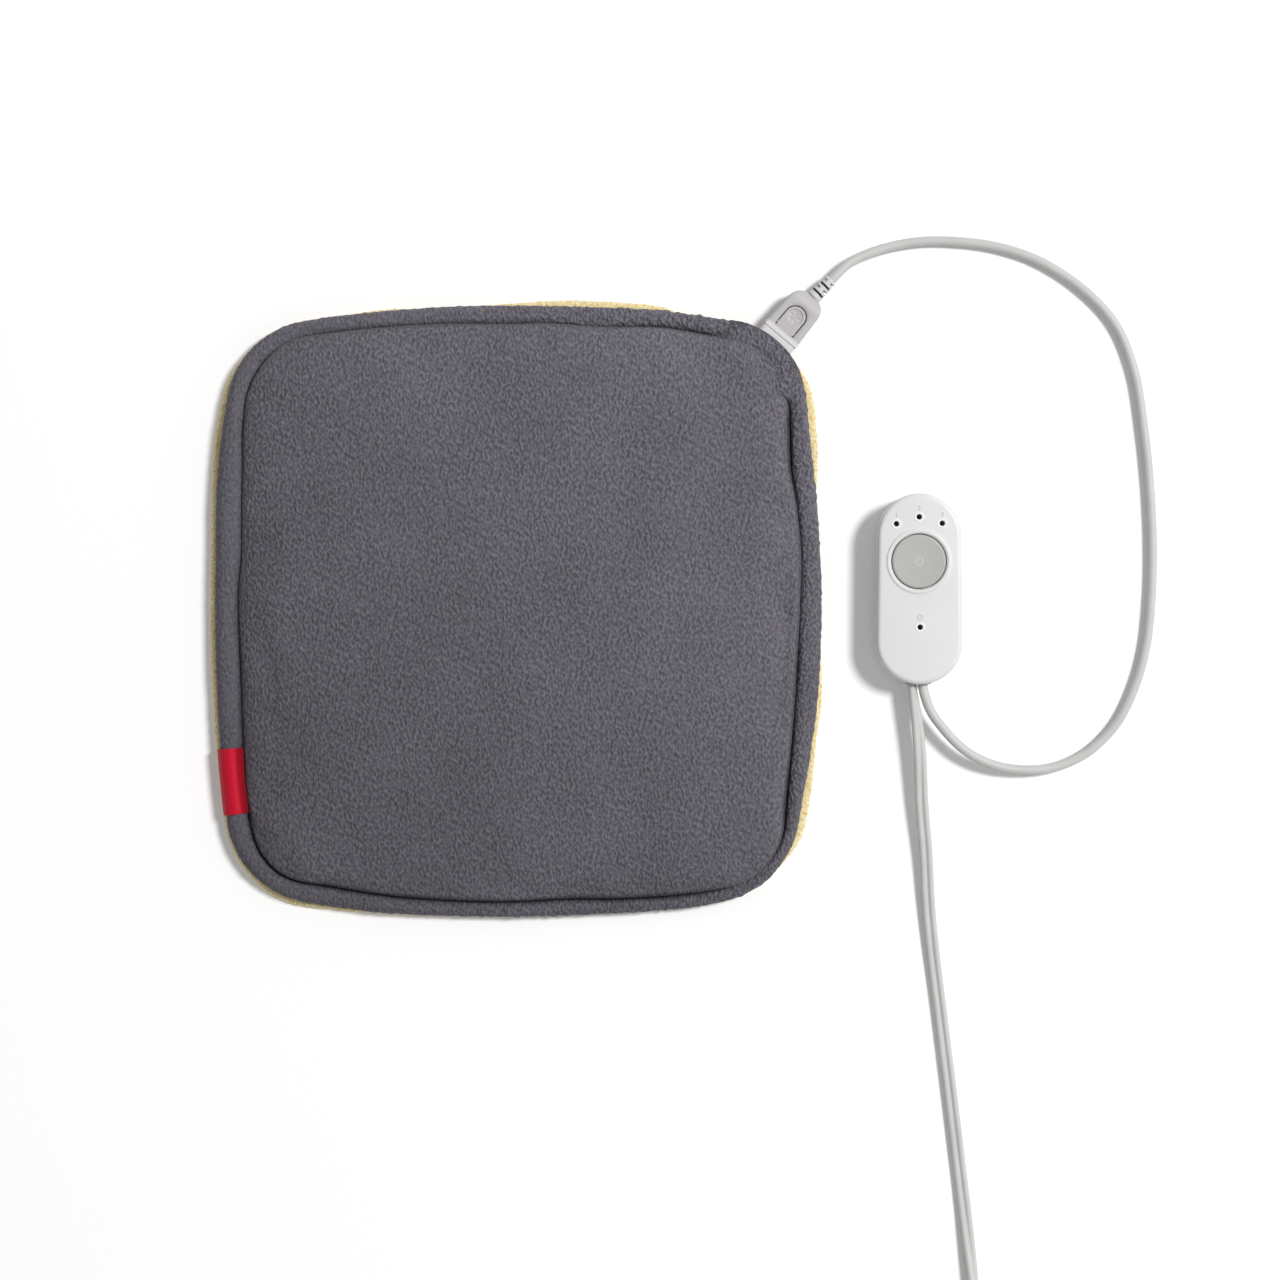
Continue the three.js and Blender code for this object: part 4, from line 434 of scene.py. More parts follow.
class Finish:
    """A material whose nodes are made and wired in short lines."""

    def __init__(self, name, colour, roughness, **sockets):
        self.material = bpy.data.materials.new(name)
        self.material.use_nodes = True
        self.material.diffuse_color = linear(colour)
        self.tree = self.material.node_tree
        self.surface = self.tree.nodes["Principled BSDF"]
        self.set("Base Color", linear(colour))
        self.set("Roughness", roughness)
        for socket, value in sockets.items():
            self.set(socket.replace("_", " ").title().replace("Ior", "IOR"), value)
        self.place = self.node("TexCoord").outputs["Object"]

    def node(self, kind, inputs=(), **settings):
        """New node of a kind with its settings and what goes into its sockets."""
        node = self.tree.nodes.new("ShaderNode" + kind)
        for name, value in settings.items():
            setattr(node, name, value)
        for name, value in dict(inputs).items():
            self.feed(node.inputs[name], value)
        return node

    def feed(self, socket, value):
        """Wires another node's socket in, or sets a constant."""
        if isinstance(value, bpy.types.NodeSocket):
            self.tree.links.new(value, socket)
        else:
            socket.default_value = value

    def set(self, socket, value):
        self.feed(self.surface.inputs[socket], value)

    def grain(self, place, scale, detail, distortion=0.0, **settings):
        """Noise at a place."""
        values = {"Vector": place, "Scale": scale, "Detail": detail, "Distortion": distortion}
        return self.node("TexNoise", values, **settings).outputs[0]

    def noise(self, size, detail=2.0, stretch=(1, 1, 1), distortion=0.0):
        """Noise with grains of a size in millimetres, drawn out by the stretch."""
        scaled = self.node("Mapping", {"Vector": self.place, "Scale": [1 / part for part in stretch]})
        return self.grain(scaled.outputs[0], 1 / (size * MM), detail, distortion)

    def cells(self, size):
        """Distances to the middles of cells of a size in millimetres."""
        values = {"Vector": self.place, "Scale": 1 / (size * MM)}
        return self.node("TexVoronoi", values).outputs["Distance"]

    def waves(self, size, axis, distortion=0.0):
        """Bands of a width in millimetres along an axis; at a scale of 1 they are a tenth of pi wide."""
        values = {"Vector": self.place, "Scale": math.pi / 10 / (size * MM), "Distortion": distortion}
        return self.node("TexWave", values, bands_direction=axis).outputs["Fac"]

    def attribute(self, name):
        return self.node("Attribute", attribute_name=name).outputs["Fac"]

    def math(self, operation, *values):
        node = self.node("Math", operation=operation)
        for socket, value in zip(node.inputs, values):
            self.feed(socket, value)
        return node.outputs[0]

    def blended(self, share, first, second):
        """A share of the first value and the rest of the second."""
        return self.math("MULTIPLY_ADD", first, share, self.math("MULTIPLY", second, 1 - share))

    def spread(self, value, low, high, to_low, to_high):
        """Value from one range spread over another."""
        inputs = {
            "Value": value, "From Min": low, "From Max": high, "To Min": to_low, "To Max": to_high,
        }
        return self.node("MapRange", inputs).outputs[0]

    def ramp(self, value, *stops):
        """Colours of hex codes at places from 0 to 1."""
        node = self.node("ValToRGB", {"Fac": value})
        elements = node.color_ramp.elements
        for element, (place, code) in zip(elements, (stops[0], stops[-1])):
            element.position, element.color = place, linear(code)
        for place, code in stops[1:-1]:
            elements.new(place).color = linear(code)
        return node.outputs["Color"]

    def mixed(self, share, first, second, blend="MIX"):
        node = self.node("Mix", data_type="RGBA", blend_type=blend)
        for socket, value in zip((0, 6, 7), (share, first, second)):
            self.feed(node.inputs[socket], value)
        return node.outputs[2]

    def shaded(self, colour, level):
        """Sets the base colour to a colour times a level."""
        grey = self.node("CombineColor", dict.fromkeys(("Red", "Green", "Blue"), level)).outputs[0]
        self.set("Base Color", self.mixed(1.0, colour, grey, "MULTIPLY"))

    def bump(self, height, depth, strength=1.0):
        """Raises the surface by a depth in millimetres where the height is 1."""
        values = {"Height": height, "Distance": depth * MM, "Strength": strength}
        self.set("Normal", self.node("Bump", values).outputs[0])


def nubbed_fleece(name, dark, body, tips):
    """Short fleece: close nubs laid out flat over the cloth, fine strands, faint clouds, painted seam shade.

    The nubs are one octave of noise on the cloth's own flat places, so they have no broad swells. They stand
    out more in some patches, and less where the cloth is drawn calm over the border. The cloth is painted
    paler towards its upper right corner, the side the lamp is on: painted light.
    """
    finish = Finish(name, body, 0.95, sheen_weight=0.12, sheen_roughness=0.45, specular_ior_level=0.12)
    flat_places = [finish.attribute("cloth_x"), finish.attribute("cloth_y")]
    flat = finish.node("CombineXYZ", dict(zip("XY", flat_places))).outputs[0]
    way = {"Vector": flat, "Rotation": (0, 0, 0.35), "Scale": (1, 0.72, 1)}
    place = finish.node("Mapping", way).outputs[0]
    nubs, strands, patches = [
        finish.grain(place, 1 / size, detail, distortion, noise_dimensions="2D")
        for size, detail, distortion in ((NUB, 0.5, 0.25), (STRAND, 2.0, 1.0), (PATCH, 1.0, 0.0))
    ]
    calm = finish.math("MULTIPLY", finish.attribute("calm"), 0.35)
    lively = finish.math("SUBTRACT", finish.spread(patches, 0.35, 0.65, 0.85, 1.1), calm)
    height = finish.math("SUBTRACT", finish.blended(0.15, strands, nubs), 0.5)
    height = finish.math("MULTIPLY_ADD", height, lively, 0.5)
    colour = finish.ramp(height, (0.3, dark), (0.5, body), (0.7, tips))
    # Painted light: a slope of paleness over the cloth's flat places, towards the upper right
    painted_light = finish.math("MULTIPLY_ADD", finish.math("ADD", *flat_places), FLEECE_PAINTED_LIGHT, 1.02)
    clouds = finish.spread(finish.noise(42, 2.0), 0.3, 0.7, 0.93, 1.07)
    # Painted shade in the seam: the fleece is darkened by the seam's painted-shade value
    painted_seam_share = finish.math("MULTIPLY", finish.attribute("crease"), 0.85)
    level = finish.math("MULTIPLY", clouds, painted_light)
    finish.shaded(colour, finish.math("MULTIPLY", level, finish.math("SUBTRACT", 1.0, painted_seam_share)))
    finish.bump(height, NUB_DEPTH)
    return finish.material


def fibre_cloth(name, dark, body, tips, tuft, depth, sheen):
    """Brushed cloth: tufts and strands of three shades, broad clouds of shade, and a soft sheen.

    The tuft is its width in millimetres.
    """
    finish = Finish(name, body, 0.95, sheen_weight=sheen, sheen_roughness=0.45, specular_ior_level=0.12)
    tufts = finish.noise(tuft, 3.0, distortion=0.6)
    strands = finish.noise(tuft * 0.45, 2.0, distortion=1.2)
    clouds = finish.noise(tuft * 24, 3.0)
    shade = finish.blended(0.42, strands, tufts)
    colour = finish.ramp(shade, (0.36, dark), (0.49, body), (0.64, tips))
    finish.shaded(colour, finish.spread(clouds, 0.3, 0.7, 0.92, 1.07))
    finish.bump(shade, depth)
    return finish.material


def moulded(name, colour, shaded, roughness, grain, depth, other=None, **sockets):
    """Moulded plastic: fine spark-eroded grain, slow drift of shade, and rubbed patches of gloss.

    The other colour shows where a piece's own value of it is 1; on the boot it is painted shade in the
    slots.
    """
    finish = Finish(name, colour, roughness, **sockets)
    speck = finish.noise(grain, 2.0)
    shade = finish.blended(0.35, speck, finish.noise(34, 3.0))
    main = finish.ramp(shade, (0.3, shaded), (0.55, colour), (0.75, colour))
    if other:
        main = finish.mixed(finish.attribute("other"), main, linear(other))
    finish.set("Base Color", main)
    rubbed = finish.noise(9, 2.0)
    finish.set("Roughness", finish.spread(rubbed, 0.3, 0.7, roughness - 0.06, roughness + 0.06))
    finish.bump(speck, depth)
    return finish.material


def metal(name, colour, tarnish, roughness, stretch):
    """Plated metal with drawn lines along one way and faint tarnish."""
    finish = Finish(name, colour, roughness, metallic=1.0)
    lines = finish.noise(0.5, 2.0, stretch)
    patches = finish.noise(5, 3.0)
    finish.set("Base Color", finish.ramp(patches, (0.35, tarnish), (0.6, colour)))
    finish.set("Roughness", finish.spread(lines, 0.3, 0.7, roughness - 0.08, roughness + 0.1))
    finish.bump(lines, 0.02)
    return finish.material


def sheath(name, colour, shaded, roughness):
    """Soft lead sheath: faint bands from its extrusion along the lead, and a matt skin."""
    finish = Finish(name, colour, roughness, specular_ior_level=0.35)
    along = finish.node("CombineXYZ", {"X": finish.attribute("along")}).outputs[0]
    skin = finish.noise(0.7, 2.0)
    shade = finish.blended(0.3, skin, finish.grain(along, 45.0, 3.0))
    finish.set("Base Color", finish.ramp(shade, (0.32, shaded), (0.6, colour)))
    finish.bump(skin, 0.04)
    return finish.material


def woven_ribbon(name, body, shaded, light):
    """Satin ribbon: fine ribs across, slight change of shade, a soft shine, painted shade in the seam."""
    finish = Finish(name, body, 0.6, specular_ior_level=0.15)
    ribs = finish.waves(0.55, "Y", 1.5)
    shade = finish.blended(0.6, finish.noise(0.5, 2.0, (3, 1, 1)), ribs)
    colour = finish.ramp(shade, (0.25, shaded), (0.5, body), (0.8, light))
    # Painted shade: the shaded colour wherever the piece's painted-shade value is 1
    finish.set("Base Color", finish.mixed(finish.attribute("dim"), colour, linear(shaded)))
    finish.bump(ribs, 0.08, 0.6)
    return finish.material


def laminate(name):
    """Green board: resist over faint tracks, with a fine glass weave under it."""
    finish = Finish(name, "#2f6a45", 0.35, coat_weight=0.3)
    tracks = finish.cells(4.5)
    weave = finish.spread(finish.noise(0.8, 1.0), 0.3, 0.7, 0.0, 0.3)
    colour = finish.ramp(tracks, (0.2, "#3a7c52"), (0.3, "#2a5f3e"))
    finish.set("Base Color", finish.mixed(weave, colour, linear("#1f4a30")))
    finish.bump(tracks, 0.05)
    return finish.material


GREY_FLEECE = nubbed_fleece("grey_fleece", "#535058", "#605d65", "#6f6c74")
YELLOW_PLUSH = fibre_cloth("yellow_plush", "#d8a34e", "#eddca4", "#f8efce", 1.4, 0.6, 0.5)
WADDING = fibre_cloth("white_wadding", "#c6c3bb", "#dedbd3", "#f0eee8", 3.0, 0.8, 0.2)
FELT = fibre_cloth("core_felt", "#a6a196", "#c4bfb3", "#d9d5cb", 0.9, 0.2, 0.1)
# The second colour is also the painted shade on the tag's inner end
RED_RIBBON = woven_ribbon("red_ribbon", "#c40c29", "#920a1d", "#d51c3c")
TIE_WEBBING = woven_ribbon("tie_webbing", "#3a3a3c", "#262628", "#505053")
SHELL_WHITE = moulded("shell_white", "#dddcdc", "#d8d7d7", 0.42, 0.5, 0.02)
BUTTON_GREY = moulded("button_grey", "#b0afac", "#a8a7a4", 0.5, 0.45, 0.03)
RIM_WHITE = moulded("rim_white", "#eeeeee", "#e9e9e9", 0.4, 0.4, 0.01)
MARK_PALE = moulded("mark_pale", "#c9c9c6", "#c2c2bf", 0.5, 0.4, 0.01)
MARK_GREY = moulded("mark_grey", "#b3b3b1", "#aaaaa8", 0.5, 0.4, 0.01)
PLUG_GREY = moulded("plug_grey", "#b8b5b6", "#aeabac", 0.5, 0.5, 0.03, "#d6d4d5")
COLLAR_GREY = moulded("collar_grey", "#d6d4d5", "#cccacb", 0.5, 0.5, 0.03)
# The second colour is painted shade in the boot's slots
BOOT_GREY = moulded("boot_grey", "#cfcecf", "#c3c2c3", 0.55, 0.6, 0.03, "#3a393a")
CARRIER_DARK = moulded("carrier_dark", "#55555a", "#4a4a4f", 0.5, 0.5, 0.02)
GROMMET_GREY = moulded("grommet_grey", "#b5b4b2", "#a9a8a6", 0.7, 0.6, 0.03)
CUTOUT_CASE = moulded("cutout_case", "#e4dccb", "#d3cab7", 0.5, 0.6, 0.02)
CHIP_CASE = moulded("chip_case", "#2b2b2d", "#222224", 0.55, 0.4, 0.02)
CAPACITOR_CASE = moulded("capacitor_case", "#d9a93f", "#c4952f", 0.35, 0.7, 0.02)
LAMP_DARK = moulded("lamp_dark", "#0b0a0c", "#070608", 0.35, 0.5, 0.005, specular_ior_level=0.05)
LEAD_GREY = sheath("lead_grey", "#c5c4c2", "#bcbbb9", 0.45)
HEAT_CORD = sheath("heat_cord", "#d8cfc0", "#c6bcab", 0.5)
FEED_WIRE = sheath("feed_wire", "#b7b2a6", "#a39d90", 0.5)
PLATED = metal("plated_steel", "#c9c7c2", "#b2afa8", 0.3, (1, 8, 1))
CONTACT = metal("contact_metal", "#d8c07a", "#bfa45c", 0.3, (8, 1, 1))
BOARD = laminate("board_laminate")


# Connector: its own axes run along the plug's pull and across it, from the middle of the socket's mouth

CONNECTOR_PLACE = np.array([129.259, 133.929])
CONNECTOR_TURN = math.radians(50)
PULL = np.array([math.cos(CONNECTOR_TURN), math.sin(CONNECTOR_TURN)])
ACROSS = np.array([-PULL[1], PULL[0]])
CONTACT_Z = 6.3


def from_connector(points):
    """Points in the connector's axes put into the picture's."""
    points = np.asarray(points, float)
    plan = CONNECTOR_PLACE + points[..., :1] * PULL + points[..., 1:2] * ACROSS
    return np.concatenate([plan, points[..., 2:]], -1)


def to_connector(plan):
    """Lengths along the pull and across it of plan points."""
    offset = plan - CONNECTOR_PLACE
    return offset @ PULL, offset @ ACROSS


# Leads

PAD_LEAD = 4.8
PAD_LEAD_SIDES = 28
BOOT_ROOT_X = 24.3
BOOT_YAW = math.radians(-6)
BOOT_TIP = 17.2
LEAD_STEP = 1.6

MAINS_EXIT = [197.4, -37.8, 9.3]
MAINS_WIDTH = 6.6
MAINS_THICK = 3.3
MAINS_WEB = 0.45
MAINS_FLAT_FROM = 0.22
MAINS_ROLL_FROM = 0.72
MAINS_SIDES = 40


def boot_point(along):
    """Point on the boot's axis, which leaves the plug a little turned."""
    heading = [math.cos(BOOT_YAW), math.sin(BOOT_YAW)]
    return from_connector([BOOT_ROOT_X + along * heading[0], along * heading[1], CONTACT_Z])


def pad_lead_path():
    """Route of the round lead from the boot's tip over the floor into the controller's lower end."""
    tip = boot_point(BOOT_TIP)
    before = boot_point(BOOT_TIP - 4)
    after = boot_point(BOOT_TIP + 2.4)
    low = 2.5
    route = [
        before, tip, after, [166.5, 173.2, 5], [181.8, 180, 3.4], [201.5, 184, low], [221.5, 184, low],
        [241.5, 181.2, low], [262, 174.2, low], [283, 160.7, low], [299.5, 143.2, low], [309.2, 120, low],
        [314.3, 89.2, low], [317.3, 59.2, low], [318.5, 29.2, low], [317.8, 4.2, low], [315, -20.3, low],
        [309.2, -40.3, low], [300, -58.2, low], [285.2, -72.5, low], [266.8, -80, 3.7], [246.5, -80.2, 6],
        [232, -75.8, 8], [221.6, -69.1, 9], [211, -57.6, 9.4], [206.5, -50.8, 9.4], [203.9, -43.8, 9.35],
        [202.7, -37.8, 9.3], [202.7, -31.3, 9.3],
    ]
    return smooth_path(route, LEAD_STEP)


def mains_floor_path():
    """Route of the flat lead from the controller over the floor, and its roll from edge to flat to edge."""
    flat = 1.75
    route = [
        [MAINS_EXIT[0], -31.3, MAINS_EXIT[2]], MAINS_EXIT, [198, -42.9, 9.2], [199.2, -50.8, 9],
        [200.5, -61.8, 8.6], [201.5, -73.8, 8], [202.6, -97.8, 6.4], [204.7, -121.8, 4.7],
        [206, -145.8, 3.2], [208.2, -169.8, 2.2], [211.2, -193.8, flat], [214.2, -217.8, flat],
        [217.2, -242, flat], [220.1, -266, flat], [223, -290, flat], [225.9, -314, 2.15], [228.7, -338, 2.9],
        [231.5, -362, 3.6], [234, -384, 4.4],
    ]
    path = smooth_path(route, LEAD_STEP)
    share = np.linspace(0, 1, len(path))
    out_of_exit = np.maximum(1 - share / MAINS_FLAT_FROM, 0) ** 2
    into_coil = smooth_step((share - MAINS_ROLL_FROM) / (1 - MAINS_ROLL_FROM))
    return path, QUARTER * np.maximum(out_of_exit, into_coil)


COIL_RADIUS = 44.82
COIL_PITCH = 4.2
COIL_LAYER_TURNS = 3.885
COIL_TURNS = 8.27
TURN_STEPS = 100
COIL_LEAD_IN = 6.6
COIL_LOW_Z = 4.4
COIL_LAYER_RISE = 7.4
COIL_BULGE = 1.8
COIL_OUT = 17
COIL_DROP = 22
PLUG_AXIS_Z = 8.5
FIT = 0.3


def coil_path(end, ahead):
    """Route of the wound lead: an inward spiral, a step up over half a turn, an outward spiral, then off it.

    The radius loses the pitch for each turn of the lower layer and gains it in the upper one. Between them
    it swings by the sine squared of the step, and the height rises with level ends.
    """
    winding = end[:2] + (FIT + COIL_LEAD_IN) * ahead
    aside = np.array([ahead[1], -ahead[0]])
    middle = winding + COIL_RADIUS * aside
    slope = COIL_PITCH / (2 * np.pi)
    layer = COIL_LAYER_TURNS * 2 * np.pi
    wound = np.linspace(0, COIL_TURNS * 2 * np.pi, int(COIL_TURNS * TURN_STEPS))
    step = np.clip(wound - layer, 0, np.pi)
    radius = COIL_RADIUS - slope * (np.minimum(wound, layer) - np.maximum(wound - layer - np.pi, 0))
    radius -= slope * (step - step ** 2 / np.pi) + COIL_BULGE * np.sin(step) ** 2
    angle = math.atan2(-aside[1], -aside[0]) - wound
    height = COIL_LOW_Z + COIL_LAYER_RISE * smooth_step(step / np.pi)
    turns = np.column_stack([middle + radius[:, None] * rays(angle), height])
    off = np.array([math.sin(angle[-1]), -math.cos(angle[-1])])
    run = np.linspace(0, COIL_OUT + COIL_DROP + COIL_LEAD_IN, 60)[1:]
    fallen = smooth_step((run - COIL_OUT) / COIL_DROP)
    plan = turns[-1, :2] + run[:, None] * off
    last = np.column_stack([plan, turns[-1, 2] + (PLUG_AXIS_Z - turns[-1, 2]) * fallen])
    lead_in = np.linspace(end, [*winding, COIL_LOW_Z], 6)[:-1]
    path = np.vstack([lead_in, turns, last])
    roll = np.concatenate([np.full(len(lead_in) + len(turns), QUARTER), QUARTER * (1 - fallen)])
    return path, roll, middle, off


def flat_section():
    """Two-core section: two rounds side by side, joined by a thin web that leaves a groove on both sides."""
    angle = full_turn(MAINS_SIDES)
    across = np.cos(angle) * MAINS_WIDTH / 2
    core = MAINS_THICK / 2
    swell = np.sqrt(np.maximum(core ** 2 - (np.abs(across) - core) ** 2, 0))
    web = np.where(np.abs(across) < core, MAINS_WEB, 0)
    return np.column_stack([across, np.maximum(swell, web) * np.sign(np.sin(angle))])


def lay_cord(name, path, roll, section, stands_for):
    """Lead laid as a skin along its path, with its length along kept for the sheath's bands."""
    run = run_along(path) * MM
    along = np.concatenate([np.repeat(run, len(section)), [0, run[-1]]])
    skin = lofted(carried(path, section, roll), path[0], path[-1])
    item = make(name, skin, LEAD_GREY, "control_set", stands_for, "lead_sheath", along=along)


# Mains plug: its axes run along the lead's end, level across it and up

def in_plug_axes(rings, place, off):
    """Rings of lengths along, across and up from the plug's axis put where the wound lead ends."""
    rings = np.asarray(rings, float)
    aside = np.array([-off[1], off[0]])
    plan = place[:2] + rings[..., :1] * off + rings[..., 1:2] * aside
    return np.concatenate([plan, rings[..., 2:] + PLUG_AXIS_Z], -1)


BLADE_AT = 6.35
BLADE_HALF_THICK = 0.75
BLADE_HALF_HEIGHT = 3.175
BLADE_REACH = (58.9, 59.1, 66, 73, 75, 76.2, 76.7, 76.9)
BLADE_TAPER = (0, 0, 0, 0, 0.12, 0.3, 0.42, 0.55)
RELIEF_LENGTH = 26
RELIEF_WALL = 1.2
RELIEF_GROWTH = 2.4
RIB_PITCH = 5.54
RIB_GROOVE = 0.9
RIB_GROOVE_HALF = 0.75
BODY_FROM = 26.6
BODY_TO = 58.6
BODY_NEAR_EDGE = 0.8
BODY_FAR_EDGE = 1.2
BODY_SWELL = 12
BODY_HALF_WIDTHS = (6.9, 13)
BODY_HALF_HEIGHTS = (5.25, 8.5)
BODY_ROUND = 5


def mains_plug_skins(place, off):
    """Ribbed boot, swelling body and two blades.

    The boot grows along its length and its ribs are cut by narrow grooves. The body swells from the boot by
    the sine squared of its length and has round edges. Each blade is a flat bar with a rounded nose.
    """
    along = np.linspace(FIT, RELIEF_LENGTH + FIT, 131)
    groove = RIB_GROOVE * np.exp(-((along % RIB_PITCH - RIB_PITCH / 2) / RIB_GROOVE_HALF) ** 4)
    grow = RELIEF_WALL + RELIEF_GROWTH * along / RELIEF_LENGTH - groove
    height = MAINS_THICK / 2 + grow
    boot = section_rings(along, MAINS_WIDTH / 2 + grow, height, ROUND_SHARE * height)
    near = BODY_FROM + BODY_NEAR_EDGE
    far = BODY_TO - BODY_FAR_EDGE
    run = np.concatenate([
        BODY_FROM + BODY_NEAR_EDGE * edge_arc(5)[:-1, 1], np.linspace(near, far, 40),
        BODY_TO - BODY_FAR_EDGE * edge_arc(6)[1:, 0],
    ])
    swell = np.sin(np.clip((run - BODY_FROM) / BODY_SWELL, 0, 1) * QUARTER) ** 2
    trim = BODY_NEAR_EDGE * np.clip((near - run) / BODY_NEAR_EDGE, 0, 1) ** 2
    trim += BODY_FAR_EDGE * (1 - np.sqrt(1 - np.clip((run - far) / BODY_FAR_EDGE, 0, 1) ** 2))
    width, height = [
        first + (last - first) * swell - trim for first, last in (BODY_HALF_WIDTHS, BODY_HALF_HEIGHTS)
    ]
    body = section_rings(run, width, height, np.minimum(ROUND_SHARE * height, BODY_ROUND))
    taper = np.array(BLADE_TAPER)
    thick = BLADE_HALF_THICK - taper
    blade = section_rings(BLADE_REACH, thick, BLADE_HALF_HEIGHT - 2 * taper, np.minimum(0.2, thick), 24)
    parts = [boot, body] + [blade + [0, side * BLADE_AT, 0] for side in (-1, 1)]
    return [lofted(in_plug_axes(part, place, off)) for part in parts]


TIE_ANGLE = math.radians(150)
TIE_WIDTH = 9
TIE_THICK = 0.8
TIE_INNER = 22.65
TIE_OUTER = 46.77
TIE_ROUND = 3.2


def tie_skin(middle):
    """Strap round all the coil's turns: a flat section carried round a rounded rectangle.

    The loop lies upright across the turns, in the plane of one radius of the coil.
    """
    top = node_box("coil_tie")[1][2]
    half = (TIE_OUTER - TIE_INNER) / 2 - TIE_THICK / 2
    loop = rectangle(half, top / 2 - TIE_THICK / 2, TIE_ROUND, 160)
    section = rectangle(TIE_WIDTH / 2, TIE_THICK / 2, 0.3, 28)
    step = unit(np.roll(loop, -1, 0) - np.roll(loop, 1, 0))
    out_of_loop = np.column_stack([step[:, 1], -step[:, 0]])
    place = loop[:, None] + section[None, :, 1:] * out_of_loop[:, None]
    radial = np.array([math.cos(TIE_ANGLE), math.sin(TIE_ANGLE)])
    tangent = np.array([-radial[1], radial[0]])
    out = (TIE_INNER + TIE_OUTER) / 2 + place[..., :1]
    plan = middle + out * radial + section[None, :, :1] * tangent
    return looped(np.concatenate([plan, place[..., 1:] + top / 2], -1))


def lay_leads():
    """Both leads, with the mains plug and the tie on the wound end."""
    lay_cord(
        "pad_cord", pad_lead_path(), 0.0, circle(PAD_LEAD / 2, PAD_LEAD_SIDES), ["pad_lead"],
    )
    floor_path, floor_roll = mains_floor_path()
    ahead = unit(floor_path[-1, :2] - floor_path[-2, :2])
    wound, wound_roll, middle, off = coil_path(floor_path[-1], ahead)
    whole = np.vstack([floor_path, wound[1:]])
    roll = np.concatenate([floor_roll, wound_roll[1:]])
    route = even_steps(np.column_stack([whole, roll]), int(run_along(whole)[-1] / LEAD_STEP))
    boot, body, *blades = mains_plug_skins(wound[-1], off)
    items = [
        make("plug_boot", boot, LEAD_GREY, "control_set", ["mains_plug_relief"], "lead_sheath"),
        make("plug_body", body, LEAD_GREY, "control_set", ["mains_plug_body"], "lead_sheath"),
        make("coil_strap", tie_skin(middle), TIE_WEBBING, "control_set", ["coil_tie"], "tie_strap", 40),
    ]
    for side, blade in zip(("left", "right"), blades):
        node = "mains_plug_blade_" + side
        items.append(make("blade_" + side, blade, PLATED, "control_set", [node], "plated_steel", 40))
    lay_cord(
        "mains_cord", route[:, :3], route[:, 3], flat_section(), ["mains_lead", "mains_coil"],
    )


# Pad outline and the fleece front

PAD_MIDDLE = np.array([0.0, -1.0])
PAD_HALF = 152.4
SIDE_BOW = 790
CORNER_ROUND = 46
CORE_Z = 3.3
EDGE_Z = 5.1
SHOULDER_Z = 14.6
CROWN_RISE = 5
SKIN = 3

# How far the front's edge lies inside the pad's outline, at turns round it
FRONT_INSETS = (
    (0, -0.1), (0.2, 0.4), (0.31, 0.9), (0.42, 0.2), (0.6, 0), (0.74, -1.2), (0.92, -0.3), (1.14, -0.6),
    (1.4, 0), (1.6, 0), (1.7, -0.7), (1.8, -0.3), (1.92, 1), (2.16, 0.9), (2.4, 0), (2.58, -0.6),
    (2.75, -1.9), (2.97, -0.9), (3.2, -0.8), (3.33, -1.1), (3.4, 0.4), (3.46, 2.2), (3.52, 3.6),
    (3.58, 4.1), (3.65, 3.6), (3.75, 2), (3.85, 0.5),
)

# Width of the border between the edge and the seam
BORDER_WIDTHS = (
    (0, 11), (0.1, 9.6), (0.2, 10.4), (0.26, 11.3), (0.34, 9.8), (0.388, 9.5), (0.426, 14), (0.452, 9.8),
    (0.48, 9), (0.6, 9.3), (0.72, 8.6), (0.84, 10), (0.94, 8.8), (1.02, 9.4), (1.2, 8.4), (1.4, 8.3),
    (1.54, 10.2), (1.64, 10), (1.74, 12.5), (1.88, 13.2), (1.97, 11.7), (2.12, 12.4), (2.22, 12),
    (2.32, 11.4), (2.42, 11.7), (2.54, 9.9), (2.66, 9.9), (2.78, 8.9), (2.97, 7.6), (3.1, 8.5), (3.2, 7.3),
    (3.34, 7), (3.46, 6.2), (3.56, 6.4), (3.64, 8), (3.74, 10), (3.86, 11.5),
)

# Depth of the seam, from 0 to 1, which also sets how dark the painted shade in it is
SEAM_DEPTH_AND_SHADE = (
    (0, 0.25), (0.06, 0.45), (0.2, 0.42), (0.27, 1), (0.39, 1), (0.43, 1), (0.455, 0.6), (0.48, 0.1),
    (0.58, 0.1), (0.65, 0.5), (0.76, 0.42), (0.86, 0.28), (1.14, 0.35), (1.3, 0.25), (1.44, 0.1), (1.5, 0.3),
    (1.57, 0.15), (1.9, 0.25), (2.04, 0.5), (2.3, 0.7), (2.45, 1), (2.75, 1), (2.97, 0.9), (3.12, 1),
    (3.34, 0.9), (3.4, 0.15), (3.47, 0.1), (3.64, 1), (3.74, 0.7), (3.85, 0.55), (3.91, 0.7),
)
SEAM_HIGH = 8.8
SEAM_FALL = 3

# Form and height of the border's arch
ARCH_POWER = 2.6
ARCH_FULL = 0.6
BORDER_HEIGHTS = ((0, 9.8), (1, 9.8), (1.5, 11), (1.7, 12.8), (2.1, 13), (2.4, 12), (2.6, 10.5), (3, 10))

# Width of the shoulder inside the seam, and how full it is: 2 is round, 4 is nearly square
SHOULDER_WIDTHS = (
    (0, 8), (0.5, 10), (1, 10), (1.5, 15), (2, 18), (2.4, 16), (2.6, 11), (3, 9), (3.5, 9),
)
SHOULDER_POWERS = ((0, 2.8), (1, 2.8), (1.5, 2.6), (2, 2.2), (2.4, 2.5), (2.7, 3.4), (3.2, 3.6))

